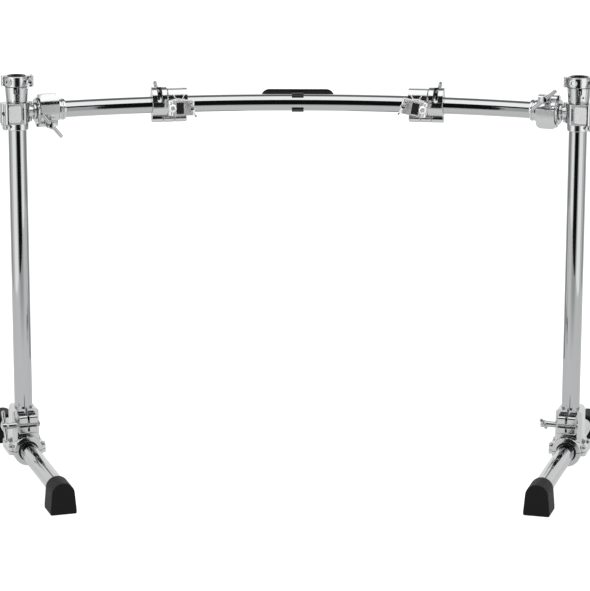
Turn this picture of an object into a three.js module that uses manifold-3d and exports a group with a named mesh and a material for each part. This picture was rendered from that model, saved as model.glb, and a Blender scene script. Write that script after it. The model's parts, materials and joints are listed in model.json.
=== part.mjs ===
// Curved drum rack frame: two posts on T legs, one curved bar and the hinged clamps that hold it all.
// Millimetres, +Z up. The player sits on the -Y side, and the bar bows away from them, to +Y.
import * as THREE from 'three';
import { mergeVertices } from 'three/addons/utils/BufferGeometryUtils.js';
import Module from 'manifold-3d';

const wasm = await Module();
wasm.setup();

// Clearances that every seat, bore and cut shares
const fit = { gap: 0.3, split: 1, overrun: 6, mergeStep: 0.001 };

// Number of flat sides on round forms, and of steps along the bar
const count = {
  tube: 20, bar: 16, boss: 12, bolt: 8, arc: 2, notches: 8,
  barSteps: 26, boreSteps: 1, longBoreSteps: 3,
};

// Tubes and the frame that they make
const bar = { diameter: 38.1, wall: 2.1, arcRadius: 1450, height: 823, plugLength: 18, plugFlange: 2 };
const post = { spacing: 1256, diameter: 41.3, wall: 2.1, foot: 78 };
const leg = { diameter: 41.3, wall: 2.1, axisHeight: 45.4, leftYaw: 18, rightYaw: 16 };
const foot = {
  frontReach: 395, rearReach: 184, length: 64, width: 58.8, height: 71.2,
  shoulder: 26, skirt: 9, wall: 6, bevel: 3,
};

// Hinged clamp that holds an end of the bar
const barClamp = {
  length: 44, shell: 27, hinge: 30, knuckle: 6.5, pin: 2.6, bolt: 30, reach: 37, middleSpan: 15,
  middleOwner: 'jaw', ear: 13, corner: 9, boss: 9.5, bossRise: 4, centre: 70, endPlate: 24, endRoom: 2.2,
};

// Hinged clamp that holds a post
const postClamp = {
  length: 46, shell: 28, hinge: 29, knuckle: 5.5, pin: 2.3, bolt: 32, reach: 39, middleSpan: 29,
  middleOwner: 'body', ear: 13, corner: 7, boss: 9.5, bossRise: 4, neckRoot: 24,
  faceDepth: 33, faceInner: 14, faceOuter: 23, faceRound: 5,
  panelWidth: 24, panelHeight: 30, panelDepth: 0.6,
};

// Toothed swivel between the two clamps of a corner
const swivel = { radius: 19, neck: 13, plate: 6, tooth: 1.5, toothLength: 6, notch: 2.4, plane: 42 };

// Clamp in the middle of the bar, with its accessory clamp in front
const midClamp = {
  barrel: 46, ring: 34, shell: 27, hinge: 31, knuckle: 6.5, pin: 2.6, bolt: 28, reach: 37, middleSpan: 26,
  middleOwner: 'jaw', ear: 13, corner: 9, boss: 9.5, bossRise: 4, groove: 2, grooveDepth: 3,
  along: 277, ringReach: 40, ringFront: 25, ringFoot: -6, ringCorner: 12, slot: 11, slotFoot: 14, tip: 20,
  seat: 17, seatFace: 31,
};

// Accessory clamp: a V block, a swinging gate and a nylon pad
const vee = {
  depth: 20, width: 28, height: 34, groove: 10, hinge: 19.5, knuckle: 6.5, pin: 2.4, bolt: 27, reach: 33,
  middleSpan: 16, middleOwner: 'jaw', ear: 8, corner: 4, boss: 6.5, bossRise: 1, tip: 8,
  padWidth: 16, padHeight: 25, padProud: 0.7, padRise: 1.4, padGroove: 3.5,
  disc: 3, cap: 9, capRise: 3, hex: 4.5, hexDepth: 2.5, sides: 6, wingTilt: 20, leftTilt: 0, rightTilt: 10,
};

// Tube receiver on a post's top: tapered sleeve, split collar and nylon bushing
const receiver = {
  topRadius: 26.6, bottomRadius: 23.6, cone: 34, tubeDrop: 5, clampRoom: 1, collarRoom: 0.6,
  slotWidth: 8, slotDepth: 15, hole: 2, holeAside: 7, holeDrop: 20,
};
const bushing = { depth: 56, lower: 18.2, upper: 20.3, bore: 12.8, slit: 2, proud: 1 };
const collar = {
  length: 23.4, shell: 26.6, hinge: 29, knuckle: 6, pin: 2.4, bolt: 31, reach: 38, middleSpan: 9,
  middleOwner: 'jaw', ear: 10, corner: 4, boss: 7, bossRise: 1.5, tip: 9,
  screw: 9, screwWell: 6, screwTurn: 35, screwRise: 3, screwDepth: 2.5,
};

// Base casting that joins a post to its leg, with its strap and liner
const base = {
  top: 141, foot: 60, halfWidth: 36.5, halfDepth: 30, round: 9, chamfer: 9, slit: 5, slitFoot: 88,
  earWidth: 20.5, earDepth: 54, earFoot: 88, earTop: 131, earRound: 6, boltDepth: 45, boltHeight: 109,
  boltRoom: 0.6, boltFace: 26, boltTip: 27, endDisc: 6.5, endDiscLength: 4,
  saddle: 34, saddleLength: 92, flange: 43, flangeRise: 9, flangeLength: 76, liner: 6.4, linerProud: 3,
  linerSlit: 2, strapLength: 72,
  screwAside: 38.5, screwAlong: 26, screw: 2.8, screwHead: 5.2, screwHeadRise: 4.5,
};

// Locks: the ring under a post clamp, and the ring beside a bar clamp
const postLock = {
  height: 15.5, room: 0.6, shell: 25.2, slit: 2.4, turn: 62, earReach: 33, earDepth: 9.5, screwPlace: 28,
};
const barLock = {
  length: 17, room: 0.6, shell: 24.2, groove: 3.5, grooveDepth: 1.8, slit: 1.6,
  earReach: 31, earRise: 8, earLength: 9,
};
const keyScrew = { shank: 2.6, head: 5, headLength: 4, square: 2.5, squareLength: 4, tip: 8 };

// T handles and wing nuts
const bolt = { radius: 4, thin: 3, tip: 12, free: 1.7 };
const tee = { hub: 8.5, collar: 7, hubLength: 22, bar: 4.3, barLength: 72, barDrop: 6.5, bevel: 1.2 };
const tilts = {
  left: 50, right: 40, leftPost: 15, rightPost: 165, leftBase: 60, rightBase: -30, middle: 78, wing: 15,
};
const wing = {
  hub: 7, hubLength: 14, span: 40, thickness: 4.6, rootRise: 6, rise: 13, lift: 7, root: 6, tipWidth: 4,
};

// Name plate and the spring clip that holds it behind the bar; the plate stays bare
const badge = {
  width: 168, height: 46, top: 38, thickness: 3, corner: 16,
  clipWidth: 27, clipWall: 2.6, mouth: 13, mouthTurn: 40,
};

// Heights above the floor that follow from the bar's height
const receiverFoot = bar.height + postClamp.length / 2 + receiver.clampRoom;
const receiverShoulder = receiverFoot + receiver.cone;
const receiverTop = receiverShoulder + receiver.collarRoom + collar.length;
const postHead = receiverShoulder - receiver.tubeDrop;
const bushingFoot = postHead - bushing.depth;

const quarter = Math.PI / 2;
const degrees = Math.PI / 180;
const chrome = { color: 0xd9dbdd, roughness: 0.1, metalness: 1 };
const castChrome = { color: 0xd2d4d6, roughness: 0.16, metalness: 1 };
const rubber = { color: 0x1d1d1e, roughness: 0.75, metalness: 0 };
const nylon = { color: 0x161617, roughness: 0.5, metalness: 0 };
const satinPlastic = { color: 0x19191a, roughness: 0.35, metalness: 0 };

// A closed solid that can be joined to, cut by or kept within another
class Solid {
  constructor(manifold) {
    this.manifold = manifold;
  }

  static from(geometry) {
    geometry.deleteAttribute('normal');
    geometry.deleteAttribute('uv');
    const merged = mergeVertices(geometry, fit.mergeStep);
    const index = merged.index.array;
    const corners = [];
    for (let i = 0; i < index.length; i += 3) {
      const [a, b, c] = index.slice(i, i + 3);
      if (a !== b && b !== c && c !== a) corners.push(a, b, c);
    }
    const mesh = new wasm.Mesh({
      numProp: 3,
      vertProperties: Float32Array.from(merged.attributes.position.array),
      triVerts: Uint32Array.from(corners),
    });
    return new Solid(new wasm.Manifold(mesh));
  }

  join(...geometries) {
    const joined = geometries.reduce((sum, geometry) => sum.add(solidOf(geometry).manifold), this.manifold);
    return new Solid(joined);
  }

  cut(...geometries) {
    const take = (rest, geometry) => rest.subtract(solidOf(geometry).manifold);
    const left = geometries.reduce(take, this.manifold);
    return new Solid(left);
  }

  keep(geometry) {
    return new Solid(this.manifold.intersect(solidOf(geometry).manifold));
  }

  geometry() {
    const mesh = this.manifold.getMesh();
    const geometry = new THREE.BufferGeometry();
    geometry.setAttribute('position', new THREE.BufferAttribute(Float32Array.from(mesh.vertProperties), 3));
    geometry.setIndex(new THREE.BufferAttribute(Uint32Array.from(mesh.triVerts), 1));
    return geometry;
  }
}

function solidOf(form) {
  return form instanceof Solid ? form : Solid.from(form.clone());
}

// A named mesh with its own material
function piece(name, form, finish) {
  const material = new THREE.MeshStandardMaterial({ ...finish, flatShading: true });
  const mesh = new THREE.Mesh(solidOf(form).geometry(), material);
  mesh.name = name;
  return mesh;
}

// Turns a form that stands along Y so that it lies along the named axis
function along(axis, geometry) {
  if (axis === 'x') geometry.rotateZ(-quarter);
  if (axis === 'z') geometry.rotateX(quarter);
  return geometry;
}

function inOrder(a, b) {
  return a < b ? [a, b] : [b, a];
}

function rod(axis, radius, from, to, steps = count.boss) {
  const geometry = new THREE.CylinderGeometry(radius, radius, to - from, steps);
  geometry.translate(0, (from + to) / 2, 0);
  return along(axis, geometry);
}

function block([x0, x1], [y0, y1], [z0, z1]) {
  const geometry = new THREE.BoxGeometry(x1 - x0, y1 - y0, z1 - z0);
  return geometry.translate((x0 + x1) / 2, (y0 + y1) / 2, (z0 + z1) / 2);
}

// An outline drawn in (y, z), (x, z) or (x, y), drawn out along the axis that is left
function prism(axis, outline, from, to) {
  const depth = to - from;
  const settings = { depth, bevelEnabled: false, curveSegments: count.arc };
  const geometry = new THREE.ExtrudeGeometry(outline, settings);
  if (axis === 'y') return geometry.translate(0, 0, -to).rotateX(quarter);
  geometry.translate(0, 0, from);
  if (axis === 'z') return geometry;
  const across = new THREE.Matrix4().makeBasis(
    new THREE.Vector3(0, 1, 0),
    new THREE.Vector3(0, 0, 1),
    new THREE.Vector3(1, 0, 0),
  );
  return geometry.applyMatrix4(across);
}

// A solid turned about an axis, from (radius, place along the axis) corners that start and end on it
function turned(axis, corners) {
  const profile = corners.map(([radius, place]) => new THREE.Vector2(radius, place));
  return along(axis, new THREE.LatheGeometry(profile, count.boss));
}

function roundedBox([x0, x1], [y0, y1], round) {
  const outline = new THREE.Shape();
  outline.moveTo(x0 + round, y0);
  outline.lineTo(x1 - round, y0);
  outline.absarc(x1 - round, y0 + round, round, -quarter, 0);
  outline.lineTo(x1, y1 - round);
  outline.absarc(x1 - round, y1 - round, round, 0, quarter);
  outline.lineTo(x0 + round, y1);
  outline.absarc(x0 + round, y1 - round, round, quarter, 2 * quarter);
  outline.lineTo(x0, y0 + round);
  outline.absarc(x0 + round, y0 + round, round, 2 * quarter, 3 * quarter);
  return outline;
}

function roundPoints(radius, steps) {
  const points = [];
  for (let i = 0; i < steps; i += 1) {
    const angle = (i / steps) * 4 * quarter;
    points.push(new THREE.Vector2(radius * Math.cos(angle), radius * Math.sin(angle)));
  }
  return points;
}

// Radius of a faceted bore that clears a round piece of the given radius by the shared gap
function boreFor(radius, steps, clearance = fit.gap) {
  return (radius + clearance) / Math.cos(2 * quarter / steps);
}

function bore(axis, radius, from, to, steps = count.boss) {
  return rod(axis, boreFor(radius, steps), from - fit.overrun, to + fit.overrun, steps);
}

// Length of the bar as an arc: the form that its tube, plugs and bores are cut from
function arcRod(radius, fromAngle, toAngle, steps, sides = count.bar) {
  const points = [];
  for (let i = 0; i <= steps; i += 1) {
    const angle = fromAngle + ((toAngle - fromAngle) * i) / steps;
    const back = bar.arcRadius * (Math.cos(angle) - 1);
    points.push(new THREE.Vector3(bar.arcRadius * Math.sin(angle), back, 0));
  }
  const extrudePath = new THREE.CatmullRomCurve3(points);
  const outline = new THREE.Shape(roundPoints(radius, sides));
  return new THREE.ExtrudeGeometry(outline, { steps, extrudePath, bevelEnabled: false });
}

// Bore for the bar in what stands on it, bowed as the bar is
function barBore(from, to, steps = count.boreSteps) {
  const radius = boreFor(bar.diameter / 2, count.bar);
  return arcRod(radius, (from - fit.overrun) / bar.arcRadius, (to + fit.overrun) / bar.arcRadius, steps);
}

// Where a hinged clamp is cut into its two halves
function halfSpace(side, length, size) {
  const reach = size + fit.overrun;
  const near = fit.split / 2;
  const ends = side > 0 ? [near, reach * 2] : [-reach * 2, -near];
  return block([-length, length], ends, [-reach, reach]);
}

// Outer form of a hinged clamp: the tube lies along X, the hinge is at -Z and the bolt at +Z
function clampShell(sizes, from, to) {
  const ear = roundedBox([-sizes.ear, sizes.ear], [-sizes.corner, sizes.reach], sizes.corner);
  return Solid.from(rod('x', sizes.shell, from, to, count.tube)).join(prism('x', ear, from, to));
}

// The knuckles of a hinge: one half of the clamp has the middle one, and the other has both ends
function knuckles(sizes, from, to, owner, clearance = 0) {
  const middle = (from + to) / 2;
  const reach = sizes.middleSpan / 2;
  const grown = sizes.knuckle + clearance;
  const ends = [[from, middle - reach], [middle + reach, to]];
  const spans = owner === sizes.middleOwner ? [[middle - reach + fit.gap, middle + reach - fit.gap]] : ends;
  return spans.map(([a, b]) => rod('x', grown, a - clearance, b + clearance).translate(0, 0, -sizes.hinge));
}

function hingePin(sizes, from, to, clearance = 0) {
  const pin = rod('x', boreFor(sizes.pin, count.bolt, clearance), from, to, count.bolt);
  return pin.translate(0, 0, -sizes.hinge);
}

// One half of a hinged clamp; the half with the end knuckles carries the pin, the other turns on it
function clampHalf(sizes, shell, side, owner, [from, to]) {
  const other = owner === 'jaw' ? 'body' : 'jaw';
  const half = shell.keep(halfSpace(side, to - from, sizes.reach))
    .cut(...knuckles(sizes, from, to, other, fit.gap))
    .join(...knuckles(sizes, from, to, owner));
  return owner === sizes.middleOwner
    ? half.cut(hingePin(sizes, from - fit.overrun, to + fit.overrun, fit.gap))
    : half.join(hingePin(sizes, from, to));
}

// Round boss on the outside of an ear, where a bolt's handle bears on it
function bossAt(sizes, side, place) {
  const face = side * sizes.ear;
  const ends = inOrder(face - side * sizes.bossRise, face + side * sizes.bossRise);
  return rod('y', sizes.boss, ...ends).translate(place, 0, sizes.bolt);
}

function boltHole(sizes, side, place, clearance) {
  const reach = sizes.ear + sizes.bossRise + fit.overrun;
  const ends = side > 0 ? [0, reach] : [-reach, 0];
  const hole = rod('y', boreFor(bolt.radius, count.bolt, clearance), ...ends, count.bolt);
  return hole.translate(place, 0, sizes.bolt);
}

// Bolt with a T handle, along Y, handle towards -Y; face is where its hub bears
function teeBolt(face, tilt, tip = bolt.tip) {
  const hubFoot = -face - fit.gap;
  const hubHead = hubFoot - tee.hubLength;
  const barPlace = hubHead + tee.barDrop;
  const end = tee.barLength / 2;
  const hub = turned('y', [
    [0, hubHead], [tee.hub - tee.bevel, hubHead], [tee.hub, hubHead + tee.bevel],
    [tee.hub, barPlace + tee.bar], [tee.collar, hubFoot - tee.bevel], [tee.collar, hubFoot], [0, hubFoot],
  ]);
  const crossBar = turned('x', [
    [0, -end], [tee.bar - tee.bevel, -end], [tee.bar, tee.bevel - end],
    [tee.bar, end - tee.bevel], [tee.bar - tee.bevel, end], [0, end],
  ]);
  crossBar.rotateY(tilt * degrees).translate(0, barPlace, 0);
  return Solid.from(rod('y', bolt.radius, hubFoot - tee.bevel, tip, count.bolt)).join(hub, crossBar);
}

// Bolt with a wing nut for its head, along Y, wings towards -Y
function wingBolt(face, tilt, tip) {
  const hubFoot = -face - fit.gap;
  const hubHead = hubFoot - wing.hubLength;
  const hub = turned('y', [
    [0, hubHead], [wing.hub - tee.bevel, hubHead], [wing.hub, hubHead + tee.bevel],
    [wing.hub, hubFoot], [0, hubFoot],
  ]);
  const half = wing.span / 2;
  const outline = new THREE.Shape();
  outline.moveTo(-wing.root, hubFoot - wing.rootRise);
  outline.lineTo(-half, hubFoot - wing.rise);
  outline.lineTo(wing.tipWidth - half, hubHead - wing.lift);
  outline.lineTo(0, hubHead + tee.bevel);
  outline.lineTo(half - wing.tipWidth, hubHead - wing.lift);
  outline.lineTo(half, hubFoot - wing.rise);
  outline.lineTo(wing.root, hubFoot - wing.rootRise);
  const wings = prism('z', outline, -wing.thickness / 2, wing.thickness / 2);
  wings.rotateY(tilt * degrees);
  return Solid.from(rod('y', bolt.thin, hubFoot - tee.bevel, tip, count.bolt)).join(hub, wings);
}

// Disc with radial teeth that locks a swivel; it stands along X and faces the side given
function toothedDisc(place, side) {
  const face = place - side * fit.gap / 2;
  const ends = inOrder(place - side * swivel.plate, face);
  const disc = Solid.from(rod('x', swivel.radius, ...ends, count.tube));
  const teeth = [];
  for (let i = 0; i < count.notches; i += 1) {
    const notch = block(
      inOrder(face - side * swivel.tooth, face + side * swivel.tooth),
      [-swivel.notch / 2, swivel.notch / 2],
      [swivel.radius - swivel.toothLength, swivel.radius + fit.overrun],
    );
    teeth.push(notch.rotateX((i / count.notches) * 4 * quarter));
  }
  return disc.cut(...teeth);
}

// Bar clamp, as it sits at the right end: +X is outward, the hinge is below and the handle above
function barClampPieces() {
  const half = barClamp.length / 2;
  const ends = [-half, half];
  const backShell = clampShell(barClamp, -half, half + barClamp.endRoom);
  const frontShell = clampShell(barClamp, ...ends).join(bossAt(barClamp, -1, 0));
  const endPlate = rod('x', barClamp.endPlate, half + fit.gap, half + barClamp.endRoom, count.tube);
  const body = clampHalf(barClamp, backShell, 1, 'body', ends)
    .cut(barBore(...ends), boltHole(barClamp, 1, 0, bolt.free))
    .join(endPlate, toothedDisc(barClamp.centre - swivel.plane, 1));
  const jaw = clampHalf(barClamp, frontShell, -1, 'jaw', ends)
    .cut(barBore(...ends), boltHole(barClamp, -1, 0, fit.gap));
  return { body, jaw };
}

// Post clamp, tube along X here; the hinge and the swivel disc are at -Z, the bolt at +Z
function postClampPieces() {
  const half = postClamp.length / 2;
  const ends = [-half, half];
  const shell = clampShell(postClamp, ...ends);
  const disc = toothedDisc(swivel.plane, 1).geometry().rotateY(quarter);
  const neckEnd = swivel.plane - swivel.plate + swivel.tooth;
  const neck = rod('z', swivel.neck, -neckEnd, -postClamp.neckRoot, count.tube);
  const clearNeck = rod('z', swivel.neck + fit.split, -neckEnd, 0, count.tube);
  const tubeBore = bore('x', post.diameter / 2, ...ends, count.tube);
  const body = clampHalf(postClamp, shell.join(bossAt(postClamp, 1, 0)), 1, 'body', ends)
    .join(neck, disc)
    .cut(tubeBore, boltHole(postClamp, 1, 0, fit.gap));
  const jaw = clampHalf(postClamp, shell.join(postClampFace(half)), -1, 'jaw', ends)
    .cut(clearNeck, tubeBore, boltHole(postClamp, -1, 0, bolt.free), postClampPanel());
  return { body, jaw };
}

function postClampFace(half) {
  const spanY = [-postClamp.faceDepth, -postClamp.faceRound];
  const outline = roundedBox(spanY, [-postClamp.faceInner, postClamp.faceOuter], postClamp.faceRound);
  return prism('x', outline, -half, half);
}

// Shallow bare panel in the front of the post clamp
function postClampPanel() {
  const middle = (postClamp.faceOuter - postClamp.faceInner) / 2;
  const across = [middle - postClamp.panelWidth / 2, middle + postClamp.panelWidth / 2];
  const up = [-postClamp.panelHeight / 2, postClamp.panelHeight / 2];
  const outline = roundedBox(up, across, postClamp.faceRound);
  return prism('y', outline, -postClamp.faceDepth - fit.overrun, postClamp.panelDepth - postClamp.faceDepth);
}

// Clamp in the middle: the barrel is round the middle of X, and the ring beyond it at +X
function midClampPieces() {
  const barrelEnd = midClamp.barrel / 2;
  const ends = [-barrelEnd, barrelEnd + midClamp.ring];
  const boltPlace = barrelEnd + midClamp.ring / 2;
  const shell = clampShell(midClamp, ...ends);
  const ring = prism('x', roundedBox(
    [-midClamp.ringFront, midClamp.ear],
    [midClamp.ringFoot, midClamp.ringReach],
    midClamp.ringCorner,
  ), barrelEnd, ends[1]);
  const seat = rod('y', midClamp.seat, -midClamp.seatFace, 0);
  const slot = block(
    [boltPlace - midClamp.slot / 2, boltPlace + midClamp.slot / 2],
    [-midClamp.ringFront - fit.overrun, 0],
    [midClamp.slotFoot, midClamp.ringReach + fit.overrun],
  );
  const tubeBore = barBore(...ends, count.longBoreSteps);
  const groove = midClampGroove(barrelEnd);
  const body = clampHalf(midClamp, shell.join(ring, seat), -1, 'body', ends)
    .cut(tubeBore, slot, groove);
  const back = shell.join(ring, bossAt(midClamp, 1, boltPlace));
  const jaw = clampHalf(midClamp, back, 1, 'jaw', ends)
    .cut(tubeBore, boltHole(midClamp, 1, boltPlace, fit.gap), groove);
  return { body, jaw, boltPlace };
}

// Groove that sets the ring apart from the barrel
function midClampGroove(place) {
  const reach = midClamp.ringReach + fit.overrun;
  const across = [place - midClamp.groove, place];
  const outer = block(across, [-reach, reach], [-reach, reach]);
  const inner = clampShell({
    ...midClamp,
    shell: midClamp.shell - midClamp.grooveDepth,
    ear: midClamp.ear - midClamp.grooveDepth,
    reach: midClamp.reach - midClamp.grooveDepth,
  }, place - midClamp.groove, place);
  const keepHinge = rod('x', midClamp.knuckle, place - midClamp.groove, place)
    .translate(0, 0, -midClamp.hinge);
  return Solid.from(outer).cut(inner, keepHinge);
}

// Accessory clamp, its rod along X here; the block is on the +Y side and the gate on the -Y side
function veePieces() {
  const half = vee.height / 2;
  const ends = [-half, half];
  const face = roundedBox([-vee.ear, vee.ear], [-vee.hinge, vee.reach], vee.corner);
  const hingeRoom = prism('x', face, ...ends);
  const blockForm = block(ends, [0, vee.depth], [-vee.width / 2, vee.width / 2]);
  const channel = new THREE.Shape();
  channel.moveTo(-fit.split, -vee.groove - fit.split);
  channel.lineTo(vee.groove, 0);
  channel.lineTo(-fit.split, vee.groove + fit.split);
  const veeCut = prism('x', channel, -half - fit.overrun, half + fit.overrun);
  const base = clampHalf(vee, Solid.from(blockForm).join(hingeRoom), 1, 'body', ends)
    .cut(veeCut, boltHole(vee, 1, 0, bolt.free));
  const window = block(
    [-vee.padHeight / 2 - fit.gap, vee.padHeight / 2 + fit.gap],
    [-vee.depth, 0],
    [-vee.padWidth / 2 - fit.gap, vee.padWidth / 2 + fit.gap],
  );
  const cap = turned('y', [
    [0, -vee.ear - vee.capRise], [vee.hex, -vee.ear - vee.capRise],
    [vee.cap, -vee.ear], [vee.cap, -vee.ear / 2], [0, -vee.ear / 2],
  ]).translate(0, 0, vee.knuckle / 2 - vee.hinge);
  const socket = rod('y', vee.hex, -vee.depth, vee.hexDepth - vee.ear - vee.capRise, vee.sides)
    .translate(0, 0, -vee.hinge + vee.knuckle / 2);
  const gate = clampHalf(vee, Solid.from(hingeRoom).join(bossAt(vee, -1, 0), cap), -1, 'jaw', ends)
    .cut(window, boltHole(vee, -1, 0, fit.gap), socket);
  return { base, gate, pad: veePad() };
}

// Nylon pad in the window of the gate, with a shallow groove towards the rod
function veePad() {
  const across = vee.padWidth / 2;
  const outline = new THREE.Shape();
  outline.moveTo(-vee.ear - vee.padProud, -across);
  outline.lineTo(vee.padRise, -across);
  outline.lineTo(vee.padRise - vee.padGroove, 0);
  outline.lineTo(vee.padRise, across);
  outline.lineTo(-vee.ear - vee.padProud, across);
  return prism('x', outline, -vee.padHeight / 2, vee.padHeight / 2);
}

// Tube receiver on a post's top; the sleeve carries the back half of the split collar
function receiverPieces() {
  const half = collar.length / 2;
  const ends = [-half, half];
  const middle = receiverTop - half;
  const shell = clampShell(collar, ...ends);
  const cone = turned('z', [
    [0, receiverFoot], [receiver.bottomRadius, receiverFoot],
    [receiver.topRadius, receiverShoulder], [0, receiverShoulder],
  ]);
  const tubeBore = bore('z', post.diameter / 2, receiverFoot, receiverTop, count.tube);
  const back = clampHalf(collar, shell, 1, 'body', ends).cut(boltHole(collar, 1, 0, bolt.free));
  const collarHalf = upright(back).translate(0, 0, middle);
  const neckTop = receiverTop - collar.length + fit.gap;
  const neck = halfRing(receiver.topRadius, receiverShoulder - fit.gap, neckTop);
  const sleeve = Solid.from(cone).join(collarHalf, neck).cut(tubeBore, ...sleeveCuts());
  const screwBoss = rod('y', collar.screw, -collar.shell - collar.screwRise, -collar.shell / 2);
  const screwEnd = -collar.shell - collar.screwRise;
  const wellSpan = [screwEnd - fit.overrun, screwEnd + collar.screwDepth];
  const screwWell = rod('y', collar.screwWell, ...wellSpan, vee.sides);
  const turn = collar.screwTurn * degrees;
  const boss = bossAt(collar, -1, 0);
  const front = shell.join(boss, screwBoss.rotateX(turn)).keep(rod('x', collar.reach * 2, ...ends));
  const jaw = clampHalf(collar, front, -1, 'jaw', ends)
    .cut(bore('x', post.diameter / 2, ...ends, count.tube), boltHole(collar, -1, 0, fit.gap))
    .cut(screwWell.rotateX(turn));
  return { sleeve, jaw: upright(jaw).translate(0, 0, middle) };
}

// Turns a clamp from lying along X to standing along Z, hinge at -X and bolt at +X
function upright(solid) {
  return solid.geometry().rotateY(quarter);
}

function halfRing(radius, from, to) {
  const form = Solid.from(rod('z', radius, from, to, count.tube));
  return form.keep(block([-radius * 2, radius * 2], [fit.split / 2, radius * 2], [from, to]));
}

// Dark slot and small hole in the front of the sleeve
function sleeveCuts() {
  const slotTop = receiverShoulder + fit.overrun;
  const slot = block(
    [-receiver.slotWidth / 2, receiver.slotWidth / 2],
    [-receiver.topRadius - fit.overrun, -post.diameter / 2 + post.wall],
    [receiverShoulder - receiver.slotDepth, slotTop],
  );
  const hole = rod('y', receiver.hole, -receiver.topRadius - fit.overrun, 0, count.bolt)
    .translate(receiver.holeAside, 0, receiverShoulder - receiver.holeDrop);
  return [Solid.from(slot).keep(halfFront(slotTop)), hole];
}

function halfFront(top) {
  const reach = receiver.topRadius * 2;
  return block([-reach, reach], [-reach, 0], [0, top]);
}

// Nylon bushing: its lower part is inside the post, its upper part inside the collar
function bushingPiece() {
  const step = postHead + fit.gap;
  const outer = turned('z', [
    [0, bushingFoot], [bushing.lower, bushingFoot], [bushing.lower, step], [bushing.upper, step],
    [bushing.upper, receiverTop + bushing.proud], [0, receiverTop + bushing.proud],
  ]);
  const slit = block(
    [-bushing.slit / 2, bushing.slit / 2],
    [-bushing.upper - fit.overrun, 0],
    [bushingFoot - fit.overrun, receiverTop + fit.overrun],
  );
  return Solid.from(outer).cut(bore('z', bushing.bore, bushingFoot, receiverTop), slit);
}

// Tube along an axis
function tube(axis, sizes, from, to) {
  const inner = sizes.diameter / 2 - sizes.wall;
  return Solid.from(rod(axis, sizes.diameter / 2, from, to, count.tube))
    .cut(rod(axis, inner, from - fit.overrun, to + fit.overrun, count.tube));
}

// Rubber foot, its nose towards -Y and the nose at the origin
function footPiece() {
  const half = foot.width / 2 - foot.bevel;
  const arch = foot.shoulder - foot.bevel;
  const archFoot = foot.height - foot.shoulder;
  const outline = new THREE.Shape();
  outline.moveTo(-half, foot.skirt);
  outline.lineTo(-half, foot.bevel);
  outline.lineTo(half, foot.bevel);
  outline.lineTo(half, foot.skirt);
  outline.absarc(0, archFoot, arch, 0, 2 * quarter);
  const form = new THREE.ExtrudeGeometry(outline, {
    depth: foot.length - 2 * foot.bevel, bevelEnabled: true, bevelSegments: 2,
    bevelSize: foot.bevel, bevelThickness: foot.bevel, curveSegments: count.arc * 2,
  });
  form.rotateX(quarter).translate(0, foot.length - foot.bevel, 0);
  const seat = bore('y', leg.diameter / 2, foot.wall + fit.overrun, foot.length, count.tube);
  return Solid.from(form).cut(seat.translate(0, 0, leg.axisHeight));
}

// Base casting: it pinches the post in front, and sits on the leg as a saddle
function baseCasting() {
  const barrel = prism('z', roundedBox(
    [-base.halfWidth, base.halfWidth],
    [-base.halfDepth, base.halfDepth],
    base.round,
  ), base.foot, base.top);
  const ears = prism('x', roundedBox(
    [-base.earDepth, 0],
    [base.earFoot, base.earTop],
    base.earRound,
  ), -base.earWidth, base.earWidth);
  const saddle = rod('y', base.saddle, -base.saddleLength / 2, base.saddleLength / 2, count.tube)
    .translate(0, 0, leg.axisHeight);
  const upper = Solid.from(saddle).join(flangePlate(leg.axisHeight, leg.axisHeight + base.flangeRise))
    .keep(legHalf(1));
  return Solid.from(barrel).keep(chamferedFront()).join(ears, upper)
    .cut(postSeat(), linerBore(), baseSlit(), boltGroove(), ...flangeHoles());
}

function chamferedFront() {
  const outline = new THREE.Shape();
  outline.moveTo(-base.halfWidth, base.foot);
  outline.lineTo(base.halfWidth, base.foot);
  outline.lineTo(base.halfWidth, base.top - base.chamfer);
  outline.lineTo(base.halfWidth - base.chamfer, base.top);
  outline.lineTo(base.chamfer - base.halfWidth, base.top);
  outline.lineTo(-base.halfWidth, base.top - base.chamfer);
  return prism('y', outline, -base.halfDepth, base.halfDepth);
}

function flangePlate(from, to) {
  return block([-base.flange, base.flange], [-base.flangeLength / 2, base.flangeLength / 2], [from, to]);
}

// Space above or below the plane where the casting and its strap meet
function legHalf(side) {
  const reach = base.flange * 2;
  const ends = inOrder(leg.axisHeight + side * fit.split / 2, leg.axisHeight + side * reach);
  return block([-reach, reach], [-reach, reach], ends);
}

function postSeat() {
  const radius = boreFor(post.diameter / 2, count.tube);
  return rod('z', radius, post.foot - fit.gap, base.top + fit.overrun, count.tube);
}

function linerBore() {
  const radius = leg.diameter / 2 + fit.gap + base.liner;
  const reach = base.saddleLength / 2;
  return bore('y', radius, -reach, reach, count.tube).translate(0, 0, leg.axisHeight);
}

function baseSlit() {
  return block(
    [-base.slit / 2, base.slit / 2],
    [-base.earDepth - fit.overrun, 0],
    [base.slitFoot, base.top + fit.overrun],
  );
}

// Open groove across the front ears, where the bolt lies
function boltGroove() {
  const room = bolt.radius + base.boltRoom;
  const reach = base.earWidth + fit.overrun;
  const open = block(
    [-reach, reach],
    [-base.earDepth - fit.overrun, -base.boltDepth],
    [base.boltHeight - room, base.boltHeight + room],
  );
  const seat = rod('x', room, -reach, reach).translate(0, -base.boltDepth, base.boltHeight);
  return Solid.from(open).join(seat);
}

function screwPlaces() {
  const places = [];
  for (const x of [-base.screwAside, base.screwAside]) {
    for (const y of [-base.screwAlong, base.screwAlong]) places.push([x, y]);
  }
  return places;
}

function flangeHoles() {
  const radius = boreFor(base.screw, count.bolt);
  const top = leg.axisHeight + base.flangeRise + fit.overrun;
  return screwPlaces().map(([x, y]) => rod('z', radius, 0, top, count.bolt).translate(x, y, 0));
}

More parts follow.
